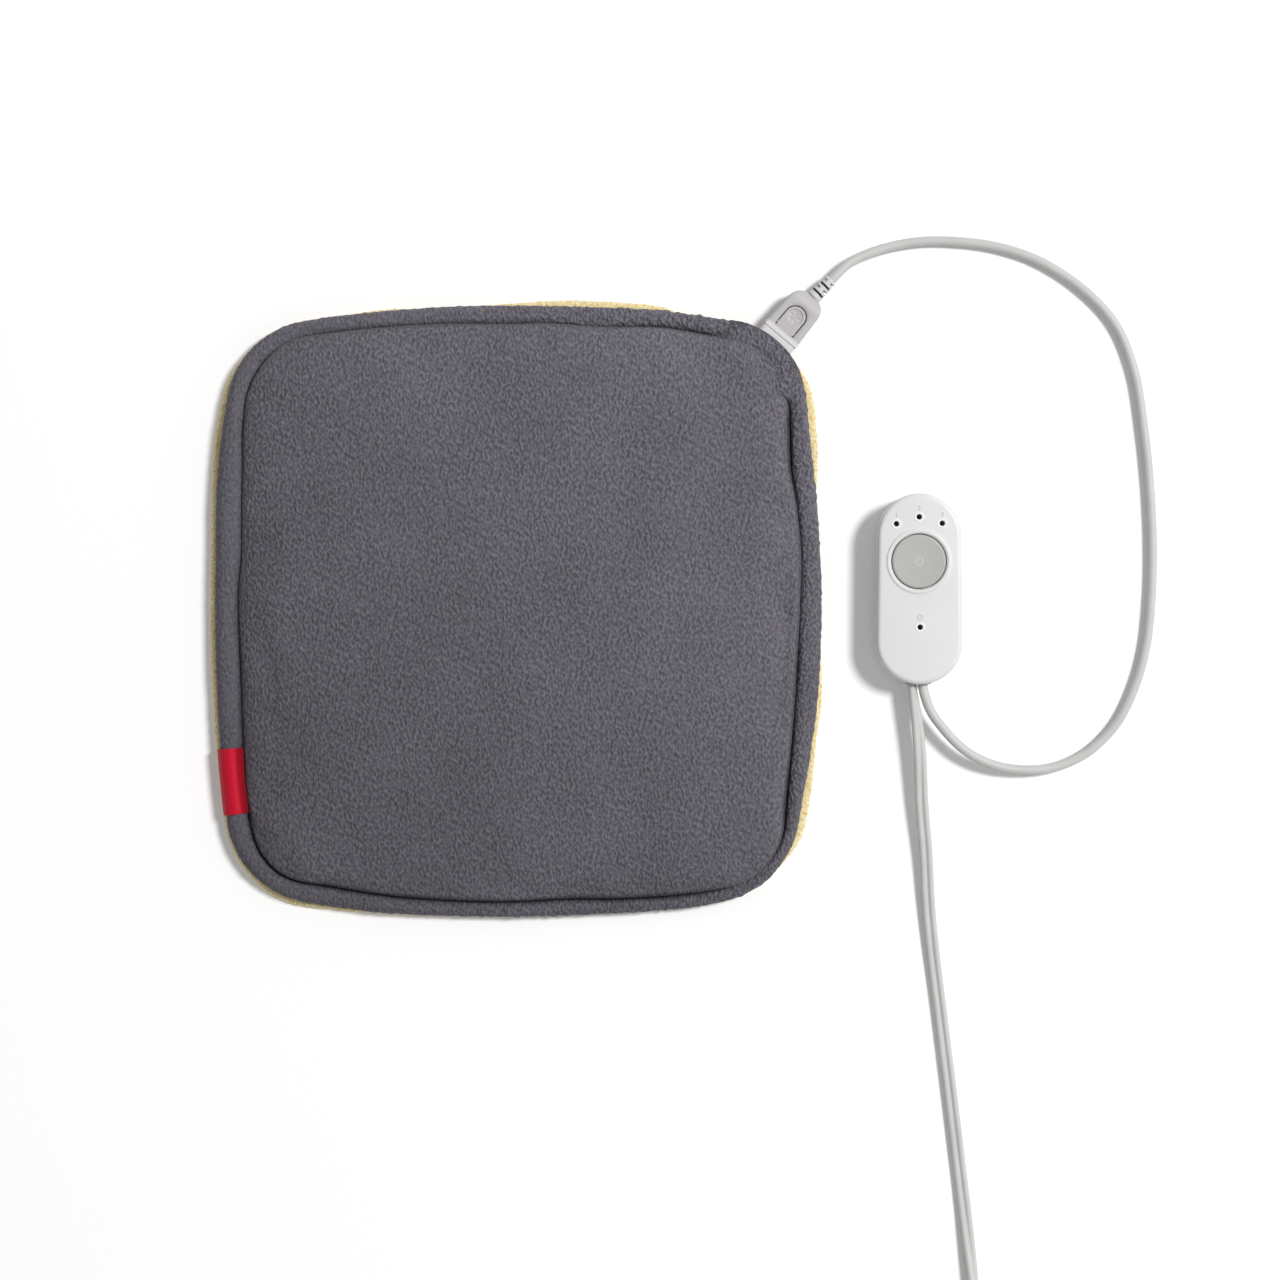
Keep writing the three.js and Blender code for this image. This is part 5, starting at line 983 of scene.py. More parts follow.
# Soft folds in the front, each from one place to another
FOLDS = (
    ((-131, -47), (-108, -64)), ((-120, -66), (-104, -79)), ((-128, -16), (-122, -44)),
    ((-134, 106), (-112, 97)),
)
FOLD_DEPTH = 0.9
FOLD_WIDTH = 5

# How calm the pile lies on the border; below 0 it stands out more than inside the seam
BORDER_CALM = (
    (0, -0.5), (0.35, -1), (0.75, -1.4), (1, -0.3), (1.25, 0.8), (2, 1), (2.5, 0.9), (2.8, 0.2),
    (3.2, -0.3), (3.6, -0.8),
)

# Socket in the upper right corner, and the hump of the cover over it
SOCKET_HALF = 9.95
SOCKET_BACK = -18
HUMP_MARGIN = 6
HUMP_FALL = 16
HUMP_Z = 14.55
HUMP_SOFT = 1.5
TUNNEL_Z = 12.35


def round_turns(count):
    """Turns in even steps round the whole pad."""
    return -0.5 + np.arange(count) * 4 / count


def pad_sides():
    """Sizes of the pad's outline, from its middle on.

    They are how far behind it the middle of a side's bow lies, how far out that of a corner's arc lies both
    ways, the angle of half a side, and the lengths of half a side and of half a corner.
    """
    reach = SIDE_BOW - PAD_HALF
    corner = (math.sqrt(2 * (SIDE_BOW - CORNER_ROUND) ** 2 - reach ** 2) - reach) / 2
    side_angle = math.atan2(corner, corner + reach)
    return reach, corner, side_angle, SIDE_BOW * side_angle, CORNER_ROUND * (QUARTER / 2 - side_angle)


def pad_edge(turn, inset):
    """Plan points at an inset from the pad's outline, which is four bowed sides with round corners.

    The share of a quarter is a length run from the side's middle along its arc and then half the corner's.
    """
    quarter = np.round(turn)
    share = 2 * (turn - quarter)
    reach, corner, side_angle, side_run, corner_run = pad_sides()
    run = np.abs(share) * (side_run + corner_run)
    hand = np.where(share < 0, -1, 1)
    on_side = run <= side_run
    angle = hand * np.where(on_side, run / SIDE_BOW, side_angle + (run - side_run) / CORNER_ROUND)
    radius = np.where(on_side, SIDE_BOW, CORNER_ROUND) - inset
    x = np.where(on_side, -reach, corner) + radius * np.cos(angle)
    y = np.where(on_side, 0, corner * hand) + radius * np.sin(angle)
    cosine = np.cos(QUARTER * quarter)
    sine = np.sin(QUARTER * quarter)
    return PAD_MIDDLE + np.stack([x * cosine - y * sine, x * sine + y * cosine], -1)


def drawn_in(plan, share):
    """Plan points at a share of the way from the pad's middle."""
    return PAD_MIDDLE + (plan - PAD_MIDDLE) * share


def front_plan(turn, level):
    """Plan of the front at levels: 0 its edge, 1 the seam, 2 the end of the shoulder, 3 the middle."""
    inset = around(FRONT_INSETS, turn) + around(BORDER_WIDTHS, turn) * np.clip(level, 0, 1)
    inset = inset + around(SHOULDER_WIDTHS, turn) * np.clip(level - 1, 0, 1)
    return drawn_in(pad_edge(turn, inset), (1 - np.clip(level - 2, 0, 1))[..., None])


def crown_rise(share):
    """Rise of the crown over the shoulder, by the share of the way to the middle."""
    return CROWN_RISE * (1 - (1 - share) ** 3)


def fold_depth(plan):
    """Depth of the folds: each falls off from its line by a bell curve."""
    depth = 0
    for start, end in FOLDS:
        along = np.subtract(end, start)
        share = np.clip((plan - start) @ along / (along @ along), 0, 1)
        away = np.linalg.norm(plan - start - share[..., None] * along, axis=-1)
        depth = depth + FOLD_DEPTH * np.exp(-(away / FOLD_WIDTH) ** 2)
    return depth


def seam_height(turn):
    """Height of the seam, which lies lowest where its painted shade is darkest."""
    return SEAM_HIGH - SEAM_FALL * around(SEAM_DEPTH_AND_SHADE, turn)


def front_height(turn, level):
    """Heights of the front: a round arch over the border, a full shoulder up from the seam, and a crown.

    The shoulder is a quarter of a curve from round to nearly square: given powers of its two distances
    add up to 1.
    """
    share = np.clip(level, 0, 1)
    seam = seam_height(turn)
    arch = (1 - np.abs(2 * share - 1) ** ARCH_POWER) ** ARCH_FULL
    base = EDGE_Z + (seam - EDGE_Z) * share
    border = base + (around(BORDER_HEIGHTS, turn) - base) * arch
    power = around(SHOULDER_POWERS, turn)
    rise = (1 - (1 - np.clip(level - 1, 0, 1)) ** power) ** (1 / power)
    shoulder = seam + (SHOULDER_Z - seam) * rise
    crown = SHOULDER_Z + crown_rise(np.clip(level - 2, 0, 1))
    return np.where(level <= 1, border, np.where(level <= 2, shoulder, crown))


def near_socket(plan):
    """Share from 1 over the socket to 0 past the fall of the hump that covers it."""
    along, aside = to_connector(plan)
    off_side = np.maximum(np.abs(aside) - SOCKET_HALF - HUMP_MARGIN, 0)
    behind = np.maximum(SOCKET_BACK - HUMP_MARGIN - along, 0)
    return 1 - smooth_step(np.hypot(off_side, behind) / HUMP_FALL)


TAG_MIDDLE_Y = -87
TAG_LENGTH = 33
TAG_LIFT = 0.75
TAG_DENT = 2.2
TAG_EASE = 5
# Level of the tag from which its inner end is painted in shade
TAG_SHADE_FROM = 0.62
TAG_OVER = 0.55
TAG_WAVE = 0.12
TAG_THICK = 0.7


def pulled_by_tag(plan, level):
    """How far the tag, sewn into the seam, pulls the inner part of the left border down."""
    past = np.maximum(np.abs(plan[..., 1] - TAG_MIDDLE_Y) - TAG_LENGTH / 2, 0)
    beside = (1 - smooth_step(past / TAG_EASE)) * (plan[..., 0] < 0)
    return TAG_DENT * beside * smooth_step((level - 0.5) / 0.4) * (level <= 1)


def front_surface(turn, level):
    """Front with its hump: a soft maximum of the cover's height and the hump's, pulled in by the tag."""
    plan = front_plan(turn, level)
    height = front_height(turn, level)
    height = np.maximum(height - pulled_by_tag(plan, level), np.minimum(height, seam_height(turn)))
    hump = HUMP_Z * near_socket(plan)
    height = (height + hump + np.sqrt((height - hump) ** 2 + HUMP_SOFT)) / 2
    return np.concatenate([plan, height[..., None]], -1)


def front_levels(border, shoulder, crown):
    """Levels of rings from the edge to the middle, crowded together on both sides of the seam."""
    return np.concatenate([
        (1 - np.cos(np.pi * np.arange(border) / border)) / 2,
        1 + (np.arange(shoulder) / shoulder) ** 1.7,
        2 + np.arange(crown + 1) / crown,
    ])


def ring_grid(rings):
    """Square grid about a middle point: columns, rows, ring numbers, and the turn of each point."""
    column, row = np.meshgrid(np.arange(-rings, rings + 1), np.arange(-rings, rings + 1))
    ring = np.maximum(np.abs(column), np.abs(row))
    wide = np.abs(column) >= np.abs(row)
    quarter = np.where(wide, np.where(column >= 0, 0, 2), np.where(row > 0, 1, 3))
    along = np.choose(quarter, [row, -column, -row, column])
    return column, row, ring, quarter + along / np.maximum(ring, 1) / 2


def rim_numbers(rings):
    """Point numbers round the grid's outermost ring, and their turns."""
    turn = -0.5 + np.arange(8 * rings) / (2 * rings)
    quarter = np.floor(turn + 0.5).astype(int)
    along = np.rint(2 * (turn - quarter) * rings).astype(int)
    far = np.full(len(turn), rings)
    column = np.choose(quarter, [far, -along, -far, along])
    row = np.choose(quarter, [along, far, -along, -far])
    return (row + rings) * (2 * rings + 1) + column + rings, turn


FILLING_SINK = 1.0
FILLING_CAP = 1.6
FILLING_DIP = 0.6
FILLING_FRAMES = 20
FILLING_CLOTH = {
    "quality": 6, "mass": 0.25, "tension_stiffness": 15, "compression_stiffness": 15, "shear_stiffness": 6,
    "bending_stiffness": 0.6, "shrink_min": -0.02, "vertex_group_mass": "sewn", "use_pressure": True,
    "uniform_pressure_force": 4,
}


def filled(levels):
    """How far a coarse front moves when air fills it, with its border, seam and flat back sewn down.

    Blender's cloth swells the closed skin for some frames. A point moves square to the cover, out by no more
    than the cap and in by no more than the dip.
    """
    rings = len(levels) - 1
    side = 2 * rings + 1
    _, _, ring, turn = ring_grid(rings)
    level = levels[::-1][ring]
    top = front_surface(turn, level)
    slack = top.copy()
    slack[..., 2] -= FILLING_SINK * np.clip(level - 1, 0, 1)
    under = top.copy()
    under[..., 2] = CORE_Z
    inside = (ring < rings).ravel()
    numbers = np.arange(side * side)
    below = np.where(inside, side * side + np.cumsum(inside) - 1, numbers)
    quads = grid_quads(side, side)
    points = np.vstack([slack.reshape(-1, 3), under.reshape(-1, 3)[inside]])
    mesh = mesh_of("filling", outward(points, [quads, below[quads][:, ::-1]]))
    item = linked("filling", mesh)
    held = np.concatenate([numbers[level.ravel() <= 1], np.arange(side * side, len(points))])
    item.vertex_groups.new(name="sewn").add(held.tolist(), 1.0, "REPLACE")
    cloth = item.modifiers.new("air", "CLOTH")
    for setting, value in FILLING_CLOTH.items():
        setattr(cloth.settings, setting, value)
    cloth.settings.effector_weights.gravity = 0
    cloth.collision_settings.use_collision = False
    cloth.point_cache.frame_start = 1
    cloth.point_cache.frame_end = FILLING_FRAMES
    for moment in range(1, FILLING_FRAMES + 1):
        scene.frame_set(moment)
    swollen = places_of(item.evaluated_get(bpy.context.evaluated_depsgraph_get()).data)
    moved = swollen[:side * side].reshape(side, side, 3) / MM - top
    bpy.data.objects.remove(item)
    bpy.data.meshes.remove(mesh)
    scene.frame_set(1)
    out = facing(top)
    rise = np.sum(moved * out, axis=-1, keepdims=True)
    return np.clip(rise, -FILLING_DIP, FILLING_CAP) * out


def facing(surface):
    """Unit normals of a grid surface, from its steps along columns and rows."""
    return unit(np.cross(np.gradient(surface, axis=1), np.gradient(surface, axis=0)))


# Relief of the front: how far it stands out, the size of its lumps, and how wide it stays clear of the seam
PILE = 0.12
PILE_SIZE = 1.5
PILE_CLEAR = 1.2
PUCKER = 0.4
PUCKER_SIZE = 9
PUCKER_CLEAR = 1.5
PUCKER_REACH = 7
PUCKER_QUARTER = 260
# Width in millimetres of the painted shade along the seam
SEAM_SHADE_WIDTH = 1.15

# Depth, size and seed of the broad waves
WAVES = ((0.55, 34, 4), (0.3, 13, 5))


def front_relief(turn, level, gap, calm, surface):
    """Height over the formed front: puckers on both sides of the seam, broad waves inside it, and pile.

    The gap is the way from the seam in millimetres, and puckers and pile fade into the seam by bell curves.
    """
    x, y = surface[..., 0], surface[..., 1]
    pucker = PUCKER * lumps(turn * PUCKER_QUARTER, level * 2, PUCKER_SIZE, 3)
    pucker = pucker * np.exp(-(gap / PUCKER_REACH) ** 2) * (1 - np.exp(-(gap / PUCKER_CLEAR) ** 2))
    waves = sum(depth * lumps(x, y, size, seed) for depth, size, seed in WAVES)
    waves = waves - fold_depth(surface[..., :2])
    pile = PILE * (1 + np.maximum(-calm, 0)) * lumps(x, y, PILE_SIZE, 1, even=True)
    return pucker + smooth_step(level - 1) * waves + pile * (1 - np.exp(-(gap / PILE_CLEAR) ** 2))


def front_underside(turn):
    """Rings of the front's hidden side: in under the border, up the shoulder and on under the crown.

    They make way for the tunnel over the socket.
    """
    edge = around(FRONT_INSETS, turn)
    inside = edge + around(BORDER_WIDTHS, turn) + SKIN
    wall = around(SHOULDER_WIDTHS, turn) - SKIN
    ceiling = SHOULDER_Z - SKIN
    rows = [
        (pad_edge(turn, edge + 0.1), EDGE_Z - 0.8),
        (pad_edge(turn, edge + 1), CORE_Z),
        (pad_edge(turn, inside), CORE_Z),
        (pad_edge(turn, inside + wall * 0.2), CORE_Z + (ceiling - CORE_Z) * 0.6),
        (pad_edge(turn, inside + wall), ceiling),
    ]
    for share in (0.25, 0.6):
        rows.append((front_plan(turn, np.full(len(turn), 2 + share)), ceiling + crown_rise(share)))
    return np.array([at_height(plan, np.maximum(z, TUNNEL_Z * near_socket(plan))) for plan, z in rows])


def fleece_front():
    """Grey front: the formed cover, filled by simulation, with puckers along the seam and pile all over.

    The cloth's flat places are its plan drawn out from the middle by the length over the surface.
    """
    levels = front_levels(14, 14, 116)
    rings = len(levels) - 1
    column, row, ring, turn = ring_grid(rings)
    level = levels[::-1][ring]
    surface = front_surface(turn, level)
    coarse = front_levels(3, 5, 27)
    moved = filled(coarse)
    reach = len(coarse) - 1
    ratio = np.interp(level, coarse, np.arange(reach, -1, -1)) / np.maximum(ring, 1)
    surface = surface + soft_sample(moved, row * ratio + reach, column * ratio + reach)
    widths = np.where(level < 1, around(BORDER_WIDTHS, turn), around(SHOULDER_WIDTHS, turn))
    gap = np.abs(level - 1) * widths
    calm = around(BORDER_CALM, turn) * (1 - smooth_step((level - 0.9) / 0.25))
    relief = front_relief(turn, level, gap, calm, surface)
    surface = surface + facing(surface) * relief[..., None]
    # Painted shade along the seam: darkest in its middle, fading by a bell curve, none over the socket
    crease = around(SEAM_DEPTH_AND_SHADE, turn) * np.exp(-(gap / SEAM_SHADE_WIDTH) ** 2) * (1 - near_socket(surface[..., :2]))
    section = front_surface(np.zeros(rings + 1), levels[::-1])
    reach = np.maximum(np.linalg.norm(section[:, :2] - PAD_MIDDLE, axis=1), 0.01)
    flat = (surface[..., :2] - PAD_MIDDLE) * (run_along(section) / reach)[ring][..., None]
    flat = flat.reshape(-1, 2)

    rim, rim_turn = rim_numbers(rings)
    hidden = front_underside(rim_turn)
    first = surface[..., 0].size
    count = len(rim)
    numbers = np.vstack([rim, first + np.arange(hidden[..., 0].size).reshape(-1, count)])
    middle = [*PAD_MIDDLE, SHOULDER_Z - SKIN + CROWN_RISE]
    points = np.vstack([surface.reshape(-1, 3), hidden.reshape(-1, 3), middle])
    quads = numbers.ravel()[grid_quads(len(numbers), count, round_columns=True)][:, ::-1]
    fan = np.stack([np.roll(numbers[-1], -1), numbers[-1], np.full(count, len(points) - 1)], 1)
    skin = outward(points, [grid_quads(2 * rings + 1, 2 * rings + 1), quads, fan])
    spare = np.zeros(len(points) - first)
    folded = 1 + 0.006 * np.arange(1, len(hidden) + 1)
    folded = (flat[rim] * folded[:, None, None]).reshape(-1, 2)
    cloth = np.vstack([flat, folded, [[0, 0]]])
    item = make(
        "fleece_front", skin, GREY_FLEECE, "pad", ["cover_front"], "grey_fleece",
        crease=np.concatenate([crease.ravel(), spare]), calm=np.concatenate([calm.ravel(), spare]),
        cloth_x=cloth[:, 0], cloth_y=cloth[:, 1],
    )


# Yellow back: how far it reaches past the pad's outline, at turns round it
BACK_REVEALS = (
    (0, -1.2), (0.19, -1), (0.26, 1.5), (0.32, 2.7), (0.39, 3.2), (0.46, 1), (0.6, -0.4), (0.68, 0.3),
    (0.74, 3.5), (0.82, 3.9), (0.92, 3.5), (1, 1.9), (1.14, 0.2), (1.24, 1.5), (1.35, 0.2), (1.5, 0),
    (1.56, 1.7), (1.62, 3), (1.7, 4), (1.8, 2.8), (1.91, 1.6), (2.16, 1.7), (2.45, 1.7), (2.58, 3.2),
    (2.75, 2.4), (2.97, -0.6), (3.37, -1), (3.5, -3), (3.59, -0.6), (3.67, 0.3), (3.76, 0.3), (3.84, 1.5),
)
BACK_HALF_THICK = 1.5
BACK_ROUND = 2
BACK_MIDDLE = 0.55
BACK_FLUFF = 0.16
BACK_FLUFF_SIZE = 1.3
BACK_QUARTER = 300
BACK_SIDES = 960


def plush_back():
    """Closed sheet with a round plush edge, uneven by its pile."""
    turn = round_turns(BACK_SIDES)
    grow = around(BACK_REVEALS, turn)
    out = pad_edge(turn, -1) - pad_edge(turn, 0)
    top = 2 * BACK_HALF_THICK
    rows = [(BACK_MIDDLE, 0, 0), (1, 12, 0), (1, 5, 0)]
    for angle in np.linspace(-QUARTER, QUARTER, 11):
        rows.append((1, BACK_ROUND * (1 - math.cos(angle)), BACK_HALF_THICK * (1 + math.sin(angle))))
    rows += [(1, 4, top), (1, 8, top), (1, 14, top), (BACK_MIDDLE, 0, top)]
    rings = []
    for share, inset, z in rows:
        edge = math.exp(-(inset / 3) ** 2) * (share == 1)
        height = np.full(len(turn), z)
        fluff = BACK_FLUFF * lumps(turn * BACK_QUARTER, height, BACK_FLUFF_SIZE, 12, even=True)
        plan = drawn_in(pad_edge(turn, inset - grow), share)
        rings.append(at_height(plan + edge * fluff[:, None] * out, z))
    skin = lofted(rings, [*PAD_MIDDLE, 0], [*PAD_MIDDLE, top])
    item = make("plush_back", skin, YELLOW_PLUSH, "pad", ["cover_back"], "yellow_fleece")


def side_tag():
    """Red ribbon folded over the left border: it follows the border's surface a little above it.

    Its inner end dips into the seam, where it is painted in shade, and its outer end goes down over the
    edge.
    """
    ends = PAD_MIDDLE[1] - TAG_MIDDLE_Y + TAG_LENGTH * np.linspace(-0.5, 0.5, 61)
    half_quarter = sum(pad_sides()[3:])
    turn = 2 + SIDE_BOW * np.arcsin(ends / SIDE_BOW) / half_quarter / 2
    level = np.concatenate([
        np.linspace(1.03, 0.9, 10)[:-1], np.linspace(0.9, 0.1, 24)[:-1], np.linspace(0.1, 0, 9),
    ])
    out = pad_edge(turn, -1) - pad_edge(turn, 0)
    turn, level = np.meshgrid(turn, level, indexing="ij")
    cloth = front_surface(turn, level)
    cloth = cloth + TAG_LIFT * facing(cloth)
    fall = np.linspace(0, 1, 8)[1:]
    side = cloth[:, -1:]
    over = np.repeat(side, len(fall), 1)
    over[..., :2] += out[:, None] * (TAG_OVER * np.sin(fall * QUARTER))[None, :, None]
    over[..., 2] = side[..., 2] + (CORE_Z + 0.2 - side[..., 2]) * fall
    strip = np.concatenate([cloth, over], 1)
    strip[..., 2] += TAG_WAVE * lumps(strip[..., 0], strip[..., 1], 6, 21)
    # Painted shade on the tag's inner end, where it dips into the seam
    dim = np.zeros(strip.shape[:2])
    dim[:, :level.shape[1]] = smooth_step((level - TAG_SHADE_FROM) / 0.1)
    skin = strip.reshape(-1, 3), [grid_quads(*dim.shape)]
    item = make("side_ribbon", skin, RED_RIBBON, "pad", ["side_tag"], "woven_tag", dim=dim)
    thick = item.modifiers.new("thickness", "SOLIDIFY")
    thick.thickness = TAG_THICK * MM
    thick.offset = 0


# Heating core under the cover

CORE_SIDES = 480
WADDING_GAP = 1.2
FELT_ROWS = (
    (0.4, 0, 0), (0.8, 0, 0), (1, 0.3, 0), (1, 0, 0.3), (1, 0, 0.7), (1, 0.3, 1), (0.8, 0, 1), (0.4, 0, 1),
)


def felt_sheets():
    """Two felt sheets of the core: closed thin layers inside the pad's own outline, with soft edges.

    Their rings lie at shares of the way from the middle, drawn in at the edges, and at shares of the height.
    """
    turn = round_turns(CORE_SIDES)
    for node in ("core_sheet_lower", "core_sheet_upper"):
        low, high = node_box(node)
        inset = PAD_HALF - (high[0] - low[0]) / 2
        rings = []
        for share, trim, up in FELT_ROWS:
            plan = drawn_in(pad_edge(turn, inset + trim), share)
            lump = 0.05 * lumps(plan[:, 0], plan[:, 1], 6, 31)
            rings.append(at_height(plan, low[2] + up * (high[2] - low[2]) + lump))
        skin = lofted(rings, [*PAD_MIDDLE, low[2]], [*PAD_MIDDLE, high[2]])
        item = make(node + "_felt", skin, FELT, "pad", [node], "core_felt")


def wadding():
    """Crowned fill between the core and the cover: it keeps a small gap under the cover's own underside."""
    turn = round_turns(CORE_SIDES)
    base = node_box("core_wadding")[0][2]
    ceiling = SHOULDER_Z - SKIN - WADDING_GAP
    rows = [(2.7, base), (2.3, base), (2.04, base), (2.02, base + 0.4), (2.03, base + 1.2)]
    rows += [(2 + share, ceiling + crown_rise(share)) for share in (0.06, 0.12, 0.2, 0.35, 0.5, 0.7, 0.9)]
    rings = []
    for level, z in rows:
        plan = front_plan(turn, np.full(len(turn), level))
        rings.append(at_height(plan, z + 0.15 * lumps(plan[:, 0], plan[:, 1], 9, 32)))
    skin = lofted(rings, [*PAD_MIDDLE, base], [*PAD_MIDDLE, ceiling + CROWN_RISE])
    item = make("wadding_fill", skin, WADDING, "pad", ["core_wadding"], "core_felt")


# Socket, plug and boot

SOCKET_MOUTH = 2.7
SOCKET_LOW = 3.3
SOCKET_HIGH = 12.05
CAVITY_HALF = 7.95
CAVITY_LOW = 4.15
CAVITY_HIGH = 11.15
CAVITY_BACK = -9.8
LIP = 0.25
SOCKET_SIDES = 96


def socket_body():
    """Rounded box open at its mouth: rings along the pull, out over a soft lip and back down the cavity."""
    rows = [(SOCKET_BACK, 0.6), (SOCKET_BACK + 0.6, 0)] + [(x, 0) for x in (-12, -6, 0, 1)]
    rows += [(SOCKET_MOUTH - LIP * trim, LIP * drop) for trim, drop in edge_arc(6)]
    x, trim = np.array(rows).T
    half = (SOCKET_HIGH - SOCKET_LOW) / 2 - trim
    outside = section_rings(x, SOCKET_HALF - trim, half, 2.4 - trim, SOCKET_SIDES)
    x, grow = np.array([(SOCKET_MOUTH, 0.3), (SOCKET_MOUTH - 0.3, 0), (-4, 0), (CAVITY_BACK, 0)]).T
    half = (CAVITY_HIGH - CAVITY_LOW) / 2 + grow
    inside = section_rings(x, CAVITY_HALF + grow, half, 0.9, SOCKET_SIDES)
    outside[..., 2] += (SOCKET_LOW + SOCKET_HIGH) / 2
    inside[..., 2] += (CAVITY_LOW + CAVITY_HIGH) / 2
    skin = lofted(from_connector(np.concatenate([outside, inside])))
    make("socket_collar", skin, COLLAR_GREY, "pad", ["socket_housing"], "socket_plastic", 50)


PLUG_FRONT = 2.8
PLUG_END = 28.7
PLUG_FRONT_HALF = 10.15
PLUG_BACK_HALF = 8.8
PLUG_ROUND = 7
PLUG_LOW = 0.6
PLUG_HIGH = 11.867
PLUG_BEVEL = 1.4
PLUG_FRONT_BEVEL = 0.15
PLUG_END_BEVEL = 2.1
PLUG_PALE = 5.6
PLUG_FACET = 23.5
PLUG_FACET_SLOPE = 0.4
PARTING = 0.15
PARTING_EDGE = 0.25
SHELL_WALL = 1.6
SHELL_UNDER = 2.6
SLOT_EDGE = 0.35
TONGUE_FRONT = 6.2
TONGUE_END = 15
TONGUE_RADIUS = 5.3
TONGUE_GROOVE = 0.45
TONGUE_FRONT_GAP = 0.06
TONGUE_Z = 11.567
TONGUE_THICK = 1.5
TONGUE_EDGE = 0.4
ARM_LOW = 9.5
ARM_HIGH = 10.3
PIVOT_X = 8
PIVOT_Z = 10.417
DIMPLE_RADIUS = 3.8
DIMPLE_DEPTH = 0.6
DIMPLE_STEP = 0.3
ROSETTE_DEPTH = 0.12


def plug_outline(inset):
    """Tapered plan with small front corners and a round cord end, drawn in most at the cord end."""
    front = PLUG_FRONT_HALF - inset
    back = PLUG_BACK_HALF - inset
    near = PLUG_FRONT + inset * PLUG_FRONT_BEVEL
    far = PLUG_END - inset * PLUG_END_BEVEL
    corners = [(near, -front), (far, -back), (far, back), (near, front)]
    return rounded(corners, [0.8, PLUG_ROUND - inset, PLUG_ROUND - inset, 0.8], 720)


def tongue_outline(grow):
    """Arch of the latch's tongue: straight sides, square front and round end."""
    radius = TONGUE_RADIUS + grow
    far = TONGUE_END + radius
    near = TONGUE_FRONT - min(max(grow, 0), TONGUE_FRONT_GAP)
    corners = [(near, -radius), (far, -radius), (far, radius), (near, radius)]
    return rounded(corners, [0.5, radius - 0.01, radius - 0.01, 0.5], 720)


def plug_shells():
    """Upper half as a shell round the latch's slot, and lower half as a closed bowl, with soft bevels.

    Both are rings on rays from the tongue's middle: out over the face, round the bevel, down to the parting.
    The upper face slopes down towards the cord end.
    """
    angles = full_turn(240, -math.pi)
    middle = np.array([TONGUE_END - 2, 0.0])
    bevel = edge_arc(9)
    high = CONTACT_Z + PARTING
    low = CONTACT_Z - PARTING
    under = CONTACT_Z + SHELL_UNDER

    def ring(inset, z):
        return at_height(on_rays(plug_outline(inset), middle, angles), z)

    slot = on_rays(tongue_outline(TONGUE_GROOVE), middle, angles)
    lip = on_rays(tongue_outline(TONGUE_GROOVE + SLOT_EDGE), middle, angles)
    face = on_rays(plug_outline(PLUG_BEVEL), middle, angles)
    rings = [at_height(slot, under), at_height(slot, PLUG_HIGH - SLOT_EDGE)]
    rings += [at_height(lip + (face - lip) * share, PLUG_HIGH) for share in (0, 0.35, 0.7)]
    rings += [ring(PLUG_BEVEL * trim, PLUG_HIGH - PLUG_BEVEL * drop) for trim, drop in bevel]
    rings += [ring(0, high + PARTING_EDGE), ring(PARTING_EDGE, high)]
    rings += [ring(SHELL_WALL, high), ring(SHELL_WALL, under)]
    rings = np.array(rings)
    fall = PLUG_FACET_SLOPE * np.maximum(rings[..., 0] - PLUG_FACET, 0)
    rings[..., 2] -= fall * np.clip((rings[..., 2] - high) / (PLUG_HIGH - high), 0, 1)
    pale = 1 - smooth_step((rings[..., 0] - PLUG_PALE) / 0.8 + 0.5)
    skin = looped(from_connector(rings))
    make("plug_upper", skin, PLUG_GREY, "control_set", ["plug_shell_top"], "plug_plastic", 55, other=pale)

    rings = [ring(SHELL_WALL, low), ring(PARTING_EDGE, low), ring(0, low - PARTING_EDGE)]
    rings += [ring(PLUG_BEVEL * trim, PLUG_LOW + PLUG_BEVEL * drop) for trim, drop in bevel[::-1]]
    ends = from_connector([[*middle, low], [*middle, PLUG_LOW]])
    skin = lofted(from_connector(rings), *ends)
    make("plug_lower", skin, PLUG_GREY, "control_set", ["plug_shell_bottom"], "plug_plastic", 55)


